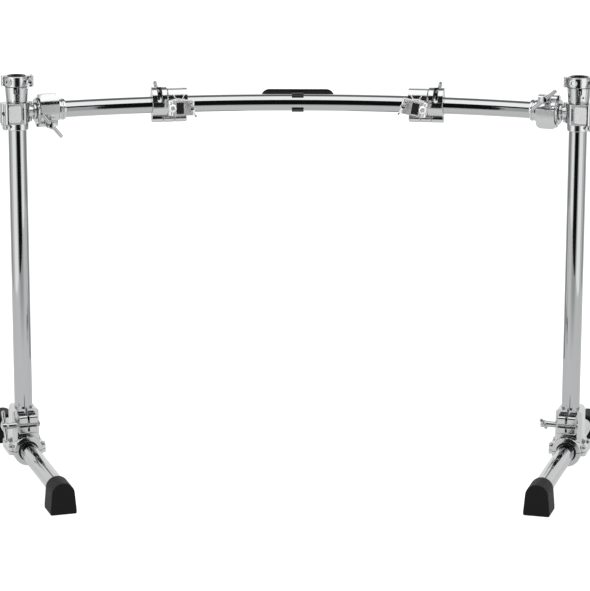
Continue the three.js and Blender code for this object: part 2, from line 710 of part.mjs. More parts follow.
// Strap under the leg, with the four screws that hold it to the casting
function legStrap() {
  const strap = rod('y', base.saddle, -base.strapLength / 2, base.strapLength / 2, count.tube)
    .translate(0, 0, leg.axisHeight);
  const lower = Solid.from(strap).join(flangePlate(leg.axisHeight - base.flangeRise, leg.axisHeight))
    .keep(legHalf(-1))
    .cut(linerBore());
  const top = leg.axisHeight + base.flangeRise + fit.gap;
  const screws = screwPlaces().flatMap(([x, y]) => [
    rod('z', base.screw, leg.axisHeight - base.flangeRise / 2, top + base.screwHeadRise, count.bolt),
    rod('z', base.screwHead, top, top + base.screwHeadRise, count.bolt),
  ].map((form) => form.translate(x, y, 0)));
  return lower.join(...screws);
}

function legLiner() {
  const outer = leg.diameter / 2 + fit.gap + base.liner - fit.gap;
  const reach = base.saddleLength / 2 + base.linerProud;
  const ring = Solid.from(rod('y', outer, -reach, reach, count.tube))
    .cut(bore('y', leg.diameter / 2, -reach, reach, count.tube))
    .cut(block([-base.linerSlit / 2, base.linerSlit / 2], [-reach * 2, reach * 2], [-outer * 2, 0]));
  return ring.geometry().translate(0, 0, leg.axisHeight);
}

// Bolt of the base, along X with its T handle at -X
function baseBolt(tilt) {
  const endDisc = rod('y', base.endDisc, base.boltTip - base.endDiscLength, base.boltTip, count.boss);
  const whole = teeBolt(base.boltFace, tilt, base.boltTip).join(endDisc);
  return whole.geometry().rotateZ(-quarter).translate(0, -base.boltDepth, base.boltHeight);
}

// Split ring under the post clamp, its ear towards the given turn from the front
function postLockRing() {
  const reach = postLock.height / 2;
  const ear = block([-postLock.earReach, 0], [-postLock.earDepth, postLock.earDepth], [-reach, reach]);
  const slit = block([-postLock.earReach - fit.overrun, 0], [-postLock.slit / 2, postLock.slit / 2],
    [-reach - fit.overrun, reach + fit.overrun]);
  const hole = rod('y', boreFor(keyScrew.shank, count.bolt), -postLock.shell, postLock.shell, count.bolt);
  return Solid.from(rod('z', postLock.shell, -reach, reach, count.tube)).join(ear)
    .cut(slit, bore('z', post.diameter / 2, -reach, reach, count.tube))
    .cut(hole.translate(-postLock.screwPlace, 0, 0));
}

// Key screw through the ear of the post lock, its square head towards -Y
function postLockScrew() {
  const face = -postLock.earDepth - fit.gap;
  const square = keyScrew.square;
  const end = face - keyScrew.headLength - keyScrew.squareLength;
  return Solid.from(rod('y', keyScrew.shank, face - keyScrew.headLength / 2, keyScrew.tip, count.bolt))
    .join(rod('y', keyScrew.head, face - keyScrew.headLength, face, count.boss))
    .join(block([-square, square], [end, face], [-square, square]))
    .geometry()
    .translate(-postLock.screwPlace, 0, 0);
}

// Memory ring on the bar: two rounded bands, split on its level at the back
function barLockRing() {
  const reach = barLock.length / 2;
  const waist = barLock.groove / 2;
  const profile = [
    [0, -reach], [barLock.shell - barLock.grooveDepth, -reach], [barLock.shell, barLock.grooveDepth - reach],
  ];
  profile.push([barLock.shell, -waist], [barLock.shell - barLock.grooveDepth, -waist]);
  const mirroredHalf = profile.map(([radius, place]) => [radius, -place]).reverse();
  const earEnd = barLock.earLength / 2;
  const ear = block([-earEnd, earEnd], [0, barLock.earReach], [-barLock.earRise, barLock.earRise]);
  const slitEnd = barLock.slit / 2;
  const slit = block([-reach * 2, reach * 2], [0, barLock.earReach + fit.overrun], [-slitEnd, slitEnd]);
  return Solid.from(turned('x', [...profile, ...mirroredHalf])).join(ear).cut(slit, barBore(-reach, reach));
}

// Name plate behind the bar and the spring clip that holds it
function badgePiece() {
  const back = bar.diameter / 2 + fit.gap + badge.clipWall;
  const half = badge.width / 2;
  const plate = prism('y', roundedBox([-half, half], [badge.top - badge.height, badge.top], badge.corner),
    back - fit.gap, back + badge.thickness);
  const reach = badge.clipWidth / 2;
  const clip = Solid.from(rod('x', back, -reach, reach, count.tube)).cut(barBore(-reach, reach));
  const mouth = block([-reach * 2, reach * 2], [-badge.mouth, badge.mouth], [-back * 2, 0]);
  return clip.cut(mouth.rotateX(badge.mouthTurn * degrees)).join(plate);
}

function barTube() {
  const reach = barAngles().end;
  const inner = bar.diameter / 2 - bar.wall;
  const boreReach = reach + fit.overrun / bar.arcRadius;
  return Solid.from(arcRod(bar.diameter / 2, -reach, reach, count.barSteps))
    .cut(arcRod(inner, -boreReach, boreReach, count.barSteps));
}

// Plug in the bar's end, outward at +X
function barPlug() {
  const inner = bar.diameter / 2 - bar.wall - fit.gap * 2;
  const plug = turned('x', [
    [0, -bar.plugLength], [inner, -bar.plugLength], [inner, fit.gap],
    [bar.diameter / 2, fit.gap], [bar.diameter / 2, bar.plugFlange], [0, bar.plugFlange],
  ]);
  return Solid.from(plug);
}

// Angles along the bar's arc, counted from its middle
function barAngles() {
  const halfSpan = post.spacing / 2;
  const clampAngle = Math.atan(barClamp.centre / bar.arcRadius);
  const reach = Math.hypot(barClamp.centre, bar.arcRadius);
  const clamp = Math.asin(halfSpan / reach) - clampAngle;
  return {
    clamp,
    end: clamp + (barClamp.length / 2 - bar.plugFlange - fit.split) / bar.arcRadius,
    lock: clamp - (barClamp.length / 2 + barLock.room + barLock.length / 2) / bar.arcRadius,
    middle: Math.asin(midClamp.along / bar.arcRadius),
  };
}

// Distance from the posts' plane forward to the centre of the bar's arc
function arcCentreDepth() {
  const { clamp } = barAngles();
  return bar.arcRadius * Math.cos(clamp) - barClamp.centre * Math.sin(clamp);
}

// Mirror image of a piece, for the clamp on the left of the bar's middle
function mirrored(form) {
  const geometry = solidOf(form).geometry().scale(-1, 1, 1);
  const index = geometry.index.array;
  for (let i = 0; i < index.length; i += 3) [index[i], index[i + 1]] = [index[i + 1], index[i]];
  return geometry;
}

function groupAt([x, y, z], turnZ, turnY, ...meshes) {
  const outer = new THREE.Group();
  outer.position.set(x, y, z);
  outer.rotation.z = turnZ;
  const inner = new THREE.Group();
  inner.rotation.y = turnY;
  inner.add(...meshes);
  outer.add(inner);
  return outer;
}

function onBar(angle, turnY, ...meshes) {
  const x = bar.arcRadius * Math.sin(angle);
  const y = bar.arcRadius * Math.cos(angle) - arcCentreDepth();
  return groupAt([x, y, bar.height], -angle, turnY, ...meshes);
}

// Pieces of one end of the bar, and of the corner that joins it to its post
function corner(name, side) {
  const angles = barAngles();
  const halfTurn = side < 0 ? 2 * quarter : 0;
  const clamp = barClampPieces();
  const hold = postClampPieces();
  const handle = teeBolt(barClamp.ear + barClamp.bossRise, side < 0 ? tilts.left : tilts.right).geometry()
    .translate(0, 0, barClamp.bolt);
  const holdHandle = teeBolt(postClamp.ear + postClamp.bossRise, side < 0 ? tilts.leftPost : tilts.rightPost)
    .geometry().rotateX(2 * quarter).translate(0, 0, postClamp.bolt).rotateY(quarter);
  const plug = side < 0 ? mirrored(barPlug()) : barPlug();
  const lockDrop = postClamp.length / 2 + postLock.room + postLock.height / 2;
  const lockTurn = side * (postLock.turn * degrees - quarter);
  const lockFlip = side < 0 ? 0 : 2 * quarter;
  const postX = side * post.spacing / 2;
  return [
    onBar(side * angles.end, 0, piece(`${name}_bar_plug`, plug, satinPlastic)),
    onBar(side * angles.lock, halfTurn, piece(`${name}_bar_memory_ring`, barLockRing(), castChrome)),
    onBar(
      side * angles.clamp,
      halfTurn,
      piece(`${name}_bar_clamp_body`, clamp.body, castChrome),
      piece(`${name}_bar_clamp_jaw`, clamp.jaw, castChrome),
      piece(`${name}_bar_clamp_handle`, handle, chrome),
    ),
    groupAt(
      [postX, 0, bar.height],
      -side * angles.clamp,
      halfTurn,
      piece(`${name}_post_clamp_body`, upright(hold.body), castChrome),
      piece(`${name}_post_clamp_jaw`, upright(hold.jaw), castChrome),
      piece(`${name}_post_clamp_handle`, holdHandle, chrome),
    ),
    groupAt(
      [postX, 0, bar.height - lockDrop],
      lockTurn,
      lockFlip,
      piece(`${name}_post_memory_ring`, postLockRing(), castChrome),
      piece(`${name}_post_memory_screw`, postLockScrew(), chrome),
    ),
  ];
}

// One post with the receiver on its top and the T leg under it
function stand(name, side) {
  const postX = side * post.spacing / 2;
  const yaw = -side * (side < 0 ? leg.leftYaw : leg.rightYaw) * degrees;
  const receiverParts = receiverPieces();
  const wingPart = wingBolt(collar.ear + collar.bossRise, tilts.wing, collar.tip).geometry()
    .translate(0, 0, collar.bolt).rotateY(quarter).translate(0, 0, receiverTop - collar.length / 2);
  const front = -foot.frontReach;
  const rear = foot.rearReach + foot.length;
  const endRoom = foot.wall + fit.gap;
  const frontFoot = footPiece().geometry().translate(0, front, 0);
  const rearFoot = footPiece().geometry().rotateZ(2 * quarter).translate(0, rear, 0);
  const legTube = tube('y', leg, front + endRoom, rear - endRoom).geometry().translate(0, 0, leg.axisHeight);
  const baseHandle = baseBolt(side < 0 ? tilts.leftBase : tilts.rightBase);
  return [
    groupAt(
      [postX, 0, 0],
      0,
      0,
      piece(`${name}_post_tube`, tube('z', post, post.foot, postHead), chrome),
      piece(`${name}_receiver_sleeve`, receiverParts.sleeve, castChrome),
      piece(`${name}_receiver_bushing`, bushingPiece(), nylon),
      piece(`${name}_receiver_jaw`, receiverParts.jaw, castChrome),
      piece(`${name}_receiver_wing_bolt`, wingPart, chrome),
    ),
    groupAt(
      [postX, 0, 0],
      yaw,
      0,
      piece(`${name}_leg_tube`, legTube, chrome),
      piece(`${name}_front_foot`, frontFoot, rubber),
      piece(`${name}_rear_foot`, rearFoot, rubber),
      piece(`${name}_base_casting`, baseCasting(), castChrome),
      piece(`${name}_leg_strap`, legStrap(), castChrome),
      piece(`${name}_base_liner`, legLiner(), nylon),
      piece(`${name}_base_handle`, baseHandle, chrome),
    ),
  ];
}

// Clamp between the middle of the bar and one end, with its accessory clamp
function accessory(name, side) {
  const clamp = midClampPieces();
  const front = veePieces();
  const faced = side < 0 ? mirrored : (form) => form;
  const handle = teeBolt(midClamp.ear + midClamp.bossRise, tilts.middle, midClamp.tip).geometry()
    .rotateZ(2 * quarter).translate(clamp.boltPlace, 0, midClamp.bolt);
  const base = front.base.join(rod('y', midClamp.seat, vee.depth - fit.gap, vee.depth + vee.disc));
  const wings = wingBolt(vee.ear + vee.bossRise, vee.wingTilt, vee.tip).geometry().translate(0, 0, vee.bolt);
  const depth = midClamp.seatFace + fit.gap + vee.disc + vee.depth;
  const tilt = (side < 0 ? vee.leftTilt : vee.rightTilt) * degrees;
  const seated = (form) => faced(solidOf(form).geometry().rotateY(-quarter).translate(0, -depth, 0));
  const tilted = new THREE.Group();
  tilted.rotation.y = tilt;
  tilted.add(
    piece(`${name}_accessory_block`, seated(base), castChrome),
    piece(`${name}_accessory_gate`, seated(front.gate), castChrome),
    piece(`${name}_accessory_pad`, seated(front.pad), nylon),
    piece(`${name}_accessory_wing_bolt`, seated(wings), chrome),
  );
  return [onBar(
    side * barAngles().middle,
    0,
    piece(`${name}_middle_clamp_body`, faced(clamp.body), castChrome),
    piece(`${name}_middle_clamp_jaw`, faced(clamp.jaw), castChrome),
    piece(`${name}_middle_clamp_handle`, faced(handle), chrome),
    tilted,
  )];
}

function assemble() {
  const whole = new THREE.Group();
  whole.name = 'drum_rack_frame';
  const middle = [piece('bar_tube', barTube(), chrome), piece('badge_plate', badgePiece(), satinPlastic)];
  whole.add(onBar(0, 0, ...middle));
  for (const [name, side] of [['left', -1], ['right', 1]]) {
    whole.add(...corner(name, side), ...stand(name, side), ...accessory(name, side));
  }
  return centred(whole);
}

// Puts the middle of the object's outline over the origin, with the feet on the floor
function centred(whole) {
  const middle = new THREE.Box3().setFromObject(whole, true).getCenter(new THREE.Vector3());
  whole.position.set(-middle.x, -middle.y, 0);
  return whole;
}

export default assemble();
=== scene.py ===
"""Studio scene of a curved drum rack frame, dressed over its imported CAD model.

Sizes are in millimetres and turns in degrees where nothing else is said. In the fields of a class a
reach is measured from an axis or a middle, a span holds the two ends of a form, a corner is the radius
of round corners, an ease or an edge is the rounding of an edge, and steps make up a curve. The fields
that are clear from this and from their names have no line of their own.
"""

import json
import logging
import math
from dataclasses import dataclass, field
from enum import Enum, IntEnum

import bmesh
import bpy
from mathutils import Matrix, Vector

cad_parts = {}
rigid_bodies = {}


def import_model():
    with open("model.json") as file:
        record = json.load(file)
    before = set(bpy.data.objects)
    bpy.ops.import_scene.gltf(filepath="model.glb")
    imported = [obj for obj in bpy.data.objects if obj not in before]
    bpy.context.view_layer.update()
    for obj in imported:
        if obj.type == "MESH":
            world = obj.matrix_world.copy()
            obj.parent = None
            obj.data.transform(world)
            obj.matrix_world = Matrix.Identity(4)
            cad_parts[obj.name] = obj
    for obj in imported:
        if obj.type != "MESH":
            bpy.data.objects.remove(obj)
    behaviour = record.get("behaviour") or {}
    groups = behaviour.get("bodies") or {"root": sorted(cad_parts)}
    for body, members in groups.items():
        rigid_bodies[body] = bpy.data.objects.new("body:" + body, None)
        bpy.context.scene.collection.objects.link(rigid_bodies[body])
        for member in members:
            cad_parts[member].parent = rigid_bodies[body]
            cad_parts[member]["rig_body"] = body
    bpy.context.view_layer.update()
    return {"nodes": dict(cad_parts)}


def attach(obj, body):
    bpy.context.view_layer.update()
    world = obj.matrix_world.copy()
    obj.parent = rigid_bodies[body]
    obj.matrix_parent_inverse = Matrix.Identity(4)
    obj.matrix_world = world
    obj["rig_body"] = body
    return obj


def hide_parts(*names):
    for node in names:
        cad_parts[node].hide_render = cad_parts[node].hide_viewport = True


logger = logging.getLogger("drum_rack_frame")

MM = 0.001
QUARTER = math.pi / 2


class Axis(Enum):
    """Direction that a form is turned about or drawn out along."""

    X = "x"
    Y = "y"
    Z = "z"


class Sides(IntEnum):
    """Number of steps in a full turn, by what is made with it."""

    HEXAGON = 6
    PIN = 20
    SCREW = 24
    HEAD = 32
    KNUCKLE = 40
    BOSS = 48
    SHELL = 64
    SEAT = 96
    TUBE = 128
    FACE = 144


def along(axis: Axis) -> Matrix:
    """Turns a form that stands along Z so that it lies along an axis.

    Args:
        axis: Direction that the form's own Z ends up on.

    Returns:
        A rotation; an outline drawn in X and Y ends up in (y, z), (x, z) or (x, y).
    """
    if axis is Axis.X:
        return Matrix(((0, 0, 1, 0), (1, 0, 0, 0), (0, 1, 0, 0), (0, 0, 0, 1)))
    if axis is Axis.Y:
        return Matrix.Rotation(QUARTER, 4, "X") @ Matrix.Scale(-1, 4, (0, 0, 1))
    return Matrix.Identity(4)


class Solid:
    """A closed mesh in millimetres that others can be joined to, or cut from."""

    def __init__(self, mesh: bpy.types.Mesh) -> None:
        """Keeps the mesh of the solid."""
        self.mesh = mesh

    @classmethod
    def build(cls, graph: bmesh.types.BMesh) -> "Solid":
        """Makes a solid from an edit mesh, with its faces turned outwards.

        Args:
            graph: Edit mesh, which is used up.

        Returns:
            The solid.
        """
        bmesh.ops.recalc_face_normals(graph, faces=graph.faces)
        mesh = bpy.data.meshes.new("solid")
        graph.to_mesh(mesh)
        graph.free()
        return cls(mesh)

    def moved(self, matrix: Matrix) -> "Solid":
        """Gives a copy of the solid under a transform, with its faces kept outwards.

        Args:
            matrix: Transform of the copy.

        Returns:
            The copy.
        """
        mesh = self.mesh.copy()
        mesh.transform(matrix)
        if matrix.determinant() < 0:
            mesh.flip_normals()
        return Solid(mesh)

    def at(self, x: float = 0, y: float = 0, z: float = 0) -> "Solid":
        """Gives a copy that is shifted."""
        return self.moved(Matrix.Translation((x, y, z)))

    def spun(self, degrees: float, axis: Axis) -> "Solid":
        """Gives a copy that is turned about an axis through the origin."""
        return self.moved(Matrix.Rotation(math.radians(degrees), 4, axis.value.upper()))

    def _combined(self, operation: str, others: tuple["Solid", ...]) -> "Solid":
        """Runs one boolean for each of the other solids, in order.

        Args:
            operation: UNION, DIFFERENCE or INTERSECT.
            others: Solids to combine with this one.

        Returns:
            The combined solid.
        """
        scene = bpy.context.scene.collection
        base = bpy.data.objects.new("base", self.mesh)
        scene.objects.link(base)
        tools = []
        for other in others:
            tool = bpy.data.objects.new("tool", other.mesh)
            scene.objects.link(tool)
            tools.append(tool)
            step = base.modifiers.new("step", "BOOLEAN")
            step.operation = operation
            step.solver = "MANIFOLD"
            step.object = tool
        graph = bpy.context.evaluated_depsgraph_get()
        mesh = bpy.data.meshes.new_from_object(base.evaluated_get(graph))
        for item in (base, *tools):
            bpy.data.objects.remove(item)
        return Solid(mesh)

    def join(self, *others: "Solid") -> "Solid":
        """Adds other solids."""
        return self._combined("UNION", others)

    def cut(self, *others: "Solid") -> "Solid":
        """Takes other solids away."""
        return self._combined("DIFFERENCE", others)

    def keep(self, other: "Solid") -> "Solid":
        """Keeps only what lies inside another solid."""
        return self._combined("INTERSECT", (other,))


Point = tuple[float, float]
Span = tuple[float, float]
Ease = tuple[Point, ...]
Spot = tuple[float, float, float]


def ordered(one: float, two: float) -> Span:
    """Puts two places in order."""
    return (min(one, two), max(one, two))


def both(reach: float) -> Span:
    """Gives the span that reaches equally far to both sides."""
    return (-reach, reach)


def edged(radius: float, place: float, ease: Ease) -> list[Point]:
    """Gives the points of an eased edge, from its insets and its rises."""
    return [(radius + inset, place + rise) for inset, rise in ease]


def prism(axis: Axis, outline: list[Point], span: Span) -> Solid:
    """Draws a closed outline out along an axis.

    Args:
        axis: Direction of the depth.
        outline: Corners in the two other axes, in the order x, y, z.
        span: Where the depth starts and ends.

    Returns:
        The solid between the two copies of the outline.
    """
    graph = bmesh.new()
    low = [graph.verts.new((u, v, span[0])) for u, v in outline]
    high = [graph.verts.new((u, v, span[1])) for u, v in outline]
    graph.faces.new(low)
    graph.faces.new(high)
    for i, corner in enumerate(low):
        after = (i + 1) % len(low)
        graph.faces.new((corner, low[after], high[after], high[i]))
    graph.transform(along(axis))
    return Solid.build(graph)


def box(x: Span, y: Span, z: Span) -> Solid:
    """Makes a block from its spans on the three axes."""
    return prism(Axis.Z, [(x[0], y[0]), (x[1], y[0]), (x[1], y[1]), (x[0], y[1])], z)


def turned(axis: Axis, profile: list[Point], sides: int = Sides.BOSS) -> Solid:
    """Turns a profile about an axis.

    Args:
        axis: Axis of the turning.
        profile: Radius and place along the axis, from one end on the axis to the other.
        sides: Number of steps in a full turn.

    Returns:
        The solid of revolution.
    """
    graph = bmesh.new()
    rings = []
    for radius, place in profile:
        if radius == 0:
            rings.append([graph.verts.new((0, 0, place))])
            continue
        ring = []
        for i in range(sides):
            angle = 4 * QUARTER * i / sides
            ring.append(graph.verts.new((radius * math.cos(angle), radius * math.sin(angle), place)))
        rings.append(ring)
    for one, two in zip(rings, rings[1:]):
        for i in range(sides):
            after = (i + 1) % sides
            if len(one) == 1:
                graph.faces.new((one[0], two[i], two[after]))
            elif len(two) == 1:
                graph.faces.new((one[i], one[after], two[0]))
            else:
                graph.faces.new((one[i], one[after], two[after], two[i]))
    graph.transform(along(axis))
    return Solid.build(graph)


def rod(axis: Axis, radius: float, span: Span, edge: float = 0, sides: int = Sides.BOSS) -> Solid:
    """Makes a round rod along an axis, with its end edges eased if an edge size is given.

    Args:
        axis: Axis of the rod.
        radius: Its radius.
        span: Where it starts and ends.
        edge: Size of the eased edge.
        sides: Number of steps in a full turn.

    Returns:
        The rod.
    """
    low, high = span
    profile = [(0, low), (radius - edge, low), (radius, low + edge), (radius, high - edge),
               (radius - edge, high), (0, high)]
    if not edge:
        profile = [(0, low), (radius, low), (radius, high), (0, high)]
    return turned(axis, profile, sides)


def rounded(u: Span, v: Span, radius: float, steps: int = 8) -> list[Point]:
    """Gives the outline of a rectangle with round corners.

    Args:
        u: Span in the outline's first axis.
        v: Span in its second axis.
        radius: Radius of the corners.
        steps: Steps round a corner.

    Returns:
        The outline's points.
    """
    outline = []
    centres = ((u[1] - radius, v[0] + radius, -1), (u[1] - radius, v[1] - radius, 0),
               (u[0] + radius, v[1] - radius, 1), (u[0] + radius, v[0] + radius, 2))
    for centre_u, centre_v, turn in centres:
        for i in range(steps + 1):
            angle = (turn + i / steps) * QUARTER
            outline.append((centre_u + radius * math.cos(angle), centre_v + radius * math.sin(angle)))
    return outline


def swept(radius: float, arc: float, span: Span, steps: int, sides: int = Sides.BOSS) -> Solid:
    """Makes a round rod that is bowed like the bar.

    Args:
        radius: Radius of the rod.
        arc: Radius of the bow, whose centre is at -Y.
        span: Angles at which the rod starts and ends, in radians.
        steps: Number of steps along it.
        sides: Number of sides round it.

    Returns:
        The bowed rod, whose middle is at the origin.
    """
    graph = bmesh.new()
    rings = []
    for i in range(steps + 1):
        angle = span[0] + (span[1] - span[0]) * i / steps
        ring = []
        for j in range(sides):
            turn = 4 * QUARTER * j / sides
            reach = arc + radius * math.cos(turn)
            ring.append(graph.verts.new(
                (reach * math.sin(angle), reach * math.cos(angle) - arc, radius * math.sin(turn))))
        rings.append(ring)
    graph.faces.new(rings[0])
    graph.faces.new(rings[-1])
    for one, two in zip(rings, rings[1:]):
        for i in range(sides):
            after = (i + 1) % sides
            graph.faces.new((one[i], one[after], two[after], two[i]))
    return Solid.build(graph)


def lofted(axis: Axis, sections: list[tuple[float, list[Point]]]) -> Solid:
    """Skins a row of outlines that all have the same number of corners.

    Args:
        axis: Direction in which the outlines follow each other.
        sections: Place along the axis and outline of each section.

    Returns:
        The solid between the first outline and the last.
    """
    graph = bmesh.new()
    rings = [[graph.verts.new((u, v, place)) for u, v in outline] for place, outline in sections]
    graph.faces.new(rings[0])
    graph.faces.new(rings[-1])
    for one, two in zip(rings, rings[1:]):
        for i, corner in enumerate(one):
            after = (i + 1) % len(one)
            graph.faces.new((corner, one[after], two[after], two[i]))
    graph.transform(along(axis))
    return Solid.build(graph)


@dataclass(frozen=True)
class Round:
    """Round form that a piece is made of, or cut with."""

    axis: Axis
    radius: float
    span: Span
    edge: float = 0
    sides: int = Sides.SEAT

    def solid(self, x: float = 0, y: float = 0, z: float = 0) -> Solid:
        """Makes the form and shifts it."""
        return rod(self.axis, self.radius, self.span, self.edge, self.sides).at(x, y, z)


@dataclass(frozen=True)
class Block:
    """Block with round corners, its sides in the order x, y, z and its span along the axis."""

    axis: Axis
    u: Span
    v: Span
    span: Span
    corner: float
    steps: int = 8

    def solid(self) -> Solid:
        """Makes the block."""
        return prism(self.axis, rounded(self.u, self.v, self.corner, self.steps), self.span)


@dataclass(frozen=True)
class Fit:
    """Clearances and reaches that all seats and cuts share.

    Attributes:
        gap: Clearance between neighbours.
        split: Gap between the halves of a clamp.
        overrun: How far a cut reaches past what it cuts.
        edge: Ease of the edges of large castings.
        boss_edge: Ease of the edges of bosses and discs.
        fine_edge: Ease of the edges of small pieces.
        sunk: How far a shank starts inside its head.
    """

    gap: float = 0.3
    split: float = 1.0
    overrun: float = 6.0
    edge: float = 1.2
    boss_edge: float = 0.8
    fine_edge: float = 0.6
    sunk: float = 1.2


FIT = Fit()
BOLT_RADIUS = 4.0
ARC_RADIUS = 1450.0
BAR_RADIUS = 19.05
POST_RADIUS = 20.65
WALL = 2.1
CLEAR = 60.0
AXIS_HEIGHT = 823.0
HALF_SPACING = 628.0


class Owner(Enum):
    """Half of a clamp that carries the middle knuckle of its hinge."""

    BODY = 1
    JAW = -1


@dataclass(frozen=True)
class ClampSizes:
    """Sizes of a hinged clamp, in millimetres; its tube lies along X.

    Attributes:
        length: Length along the tube.
        shell: Outer radius round the tube.
        hinge: Distance of the hinge from the tube's axis.
        knuckle: Radius of the hinge's knuckles.
        pin: Radius of the hinge pin.
        bolt: Distance of the bolt from the tube's axis.
        reach: Distance of the ears' tops from the tube's axis.
        middle_span: Length of the middle knuckle.
        ear: Half of the thickness of the two ears together.
        corner: Radius of the ears' corners.
        boss: Radius of the round boss that the handle bears on.
        boss_rise: Height of that boss.
        middle_owner: Half that has the middle knuckle.
    """

    length: float
    shell: float
    hinge: float
    knuckle: float
    pin: float
    bolt: float
    reach: float
    middle_span: float
    ear: float
    corner: float
    boss: float
    boss_rise: float
    middle_owner: Owner = Owner.JAW

    def half_space(self, side: int, length: float) -> Solid:
        """Gives the space in front of the split, or behind it.

        Args:
            side: 1 for behind the split, -1 for in front.
            length: Half of the space's length.

        Returns:
            The space.
        """
        reach = self.reach + FIT.overrun
        span = ordered(side * FIT.split / 2, side * reach * 2)
        return box(both(length), span, both(reach))

    def shell_form(self, ends: Span) -> Solid:
        """Gives the outer form: a round shell with both ears on top.

        Args:
            ends: Where the form starts and ends along X.

        Returns:
            The outer form.
        """
        round_form = rod(Axis.X, self.shell, ends, FIT.edge, Sides.SHELL)
        outline = rounded(both(self.ear), (-self.corner, self.reach), self.corner)
        return round_form.join(prism(Axis.X, outline, ends))

    def knuckles(self, ends: Span, owner: Owner, clearance: float = 0) -> list[Solid]:
        """Gives the knuckles of one half of the hinge, grown by a clearance.

        Args:
            ends: Span of the hinge along X.
            owner: Half that the knuckles belong to.
            clearance: How much they are grown.

        Returns:
            The knuckles.
        """
        middle = (ends[0] + ends[1]) / 2
        reach = self.middle_span / 2
        spans = [(ends[0], middle - reach), (middle + reach, ends[1])]
        if owner is self.middle_owner:
            spans = [(middle - reach + FIT.gap, middle + reach - FIT.gap)]
        edge = 0 if clearance else FIT.edge
        forms = []
        for low, high in spans:
            span = (low - clearance, high + clearance)
            form = rod(Axis.X, self.knuckle + clearance, span, edge, Sides.KNUCKLE)
            forms.append(form.at(z=-self.hinge))
        return forms

    def hinge_pin(self, ends: Span, clearance: float = 0) -> Solid:
        """Gives the pin of the hinge, grown by a clearance."""
        return rod(Axis.X, self.pin + clearance, ends, 0, Sides.PIN).at(z=-self.hinge)

    def half(self, shell: Solid, owner: Owner, side: int, ends: Span) -> Solid:
        """Cuts one half of the clamp out of its outer form and adds its hinge.

        Args:
            shell: Outer form of the clamp.
            owner: Which half this is.
            side: 1 for the half at +Y, -1 for the one at -Y.
            ends: Span of the hinge along X.

        Returns:
            The half, without its bore.
        """
        other = Owner.JAW if owner is Owner.BODY else Owner.BODY
        form = shell.keep(self.half_space(side, ends[1] - ends[0]))
        form = form.cut(*self.knuckles(ends, other, FIT.gap)).join(*self.knuckles(ends, owner))
        if owner is self.middle_owner:
            return form.cut(self.hinge_pin((ends[0] - FIT.overrun, ends[1] + FIT.overrun), FIT.gap))
        return form.join(self.hinge_pin(ends))

    def boss_at(self, side: int, place: float) -> Solid:
        """Gives the round boss on the outside of an ear.

        Args:
            side: 1 for the ear at +Y, -1 for the one at -Y.
            place: Place of the bolt along X.

        Returns:
            The boss.
        """
        face = side * self.ear
        span = ordered(face - side * self.boss_rise, face + side * self.boss_rise)
        return rod(Axis.Y, self.boss, span, FIT.boss_edge, Sides.KNUCKLE).at(place, 0, self.bolt)

    def bolt_hole(self, side: int, place: float, clearance: float) -> Solid:
        """Gives the hole of the bolt through an ear."""
        span = ordered(0, side * (self.ear + self.boss_rise + FIT.overrun))
        return rod(Axis.Y, BOLT_RADIUS + clearance, span, 0, Sides.SCREW).at(place, 0, self.bolt)


LOOSE_HOLE = 1.7
BORE_STEPS = 6
BAR_STEPS = 96


def bar_bore(ends: Span, steps: int = BORE_STEPS) -> Solid:
    """Gives the bore for the bar in what stands on it, bowed as the bar is."""
    span = ((ends[0] - FIT.overrun) / ARC_RADIUS, (ends[1] + FIT.overrun) / ARC_RADIUS)
    return swept(BAR_RADIUS + FIT.gap, ARC_RADIUS, span, steps, Sides.SHELL)


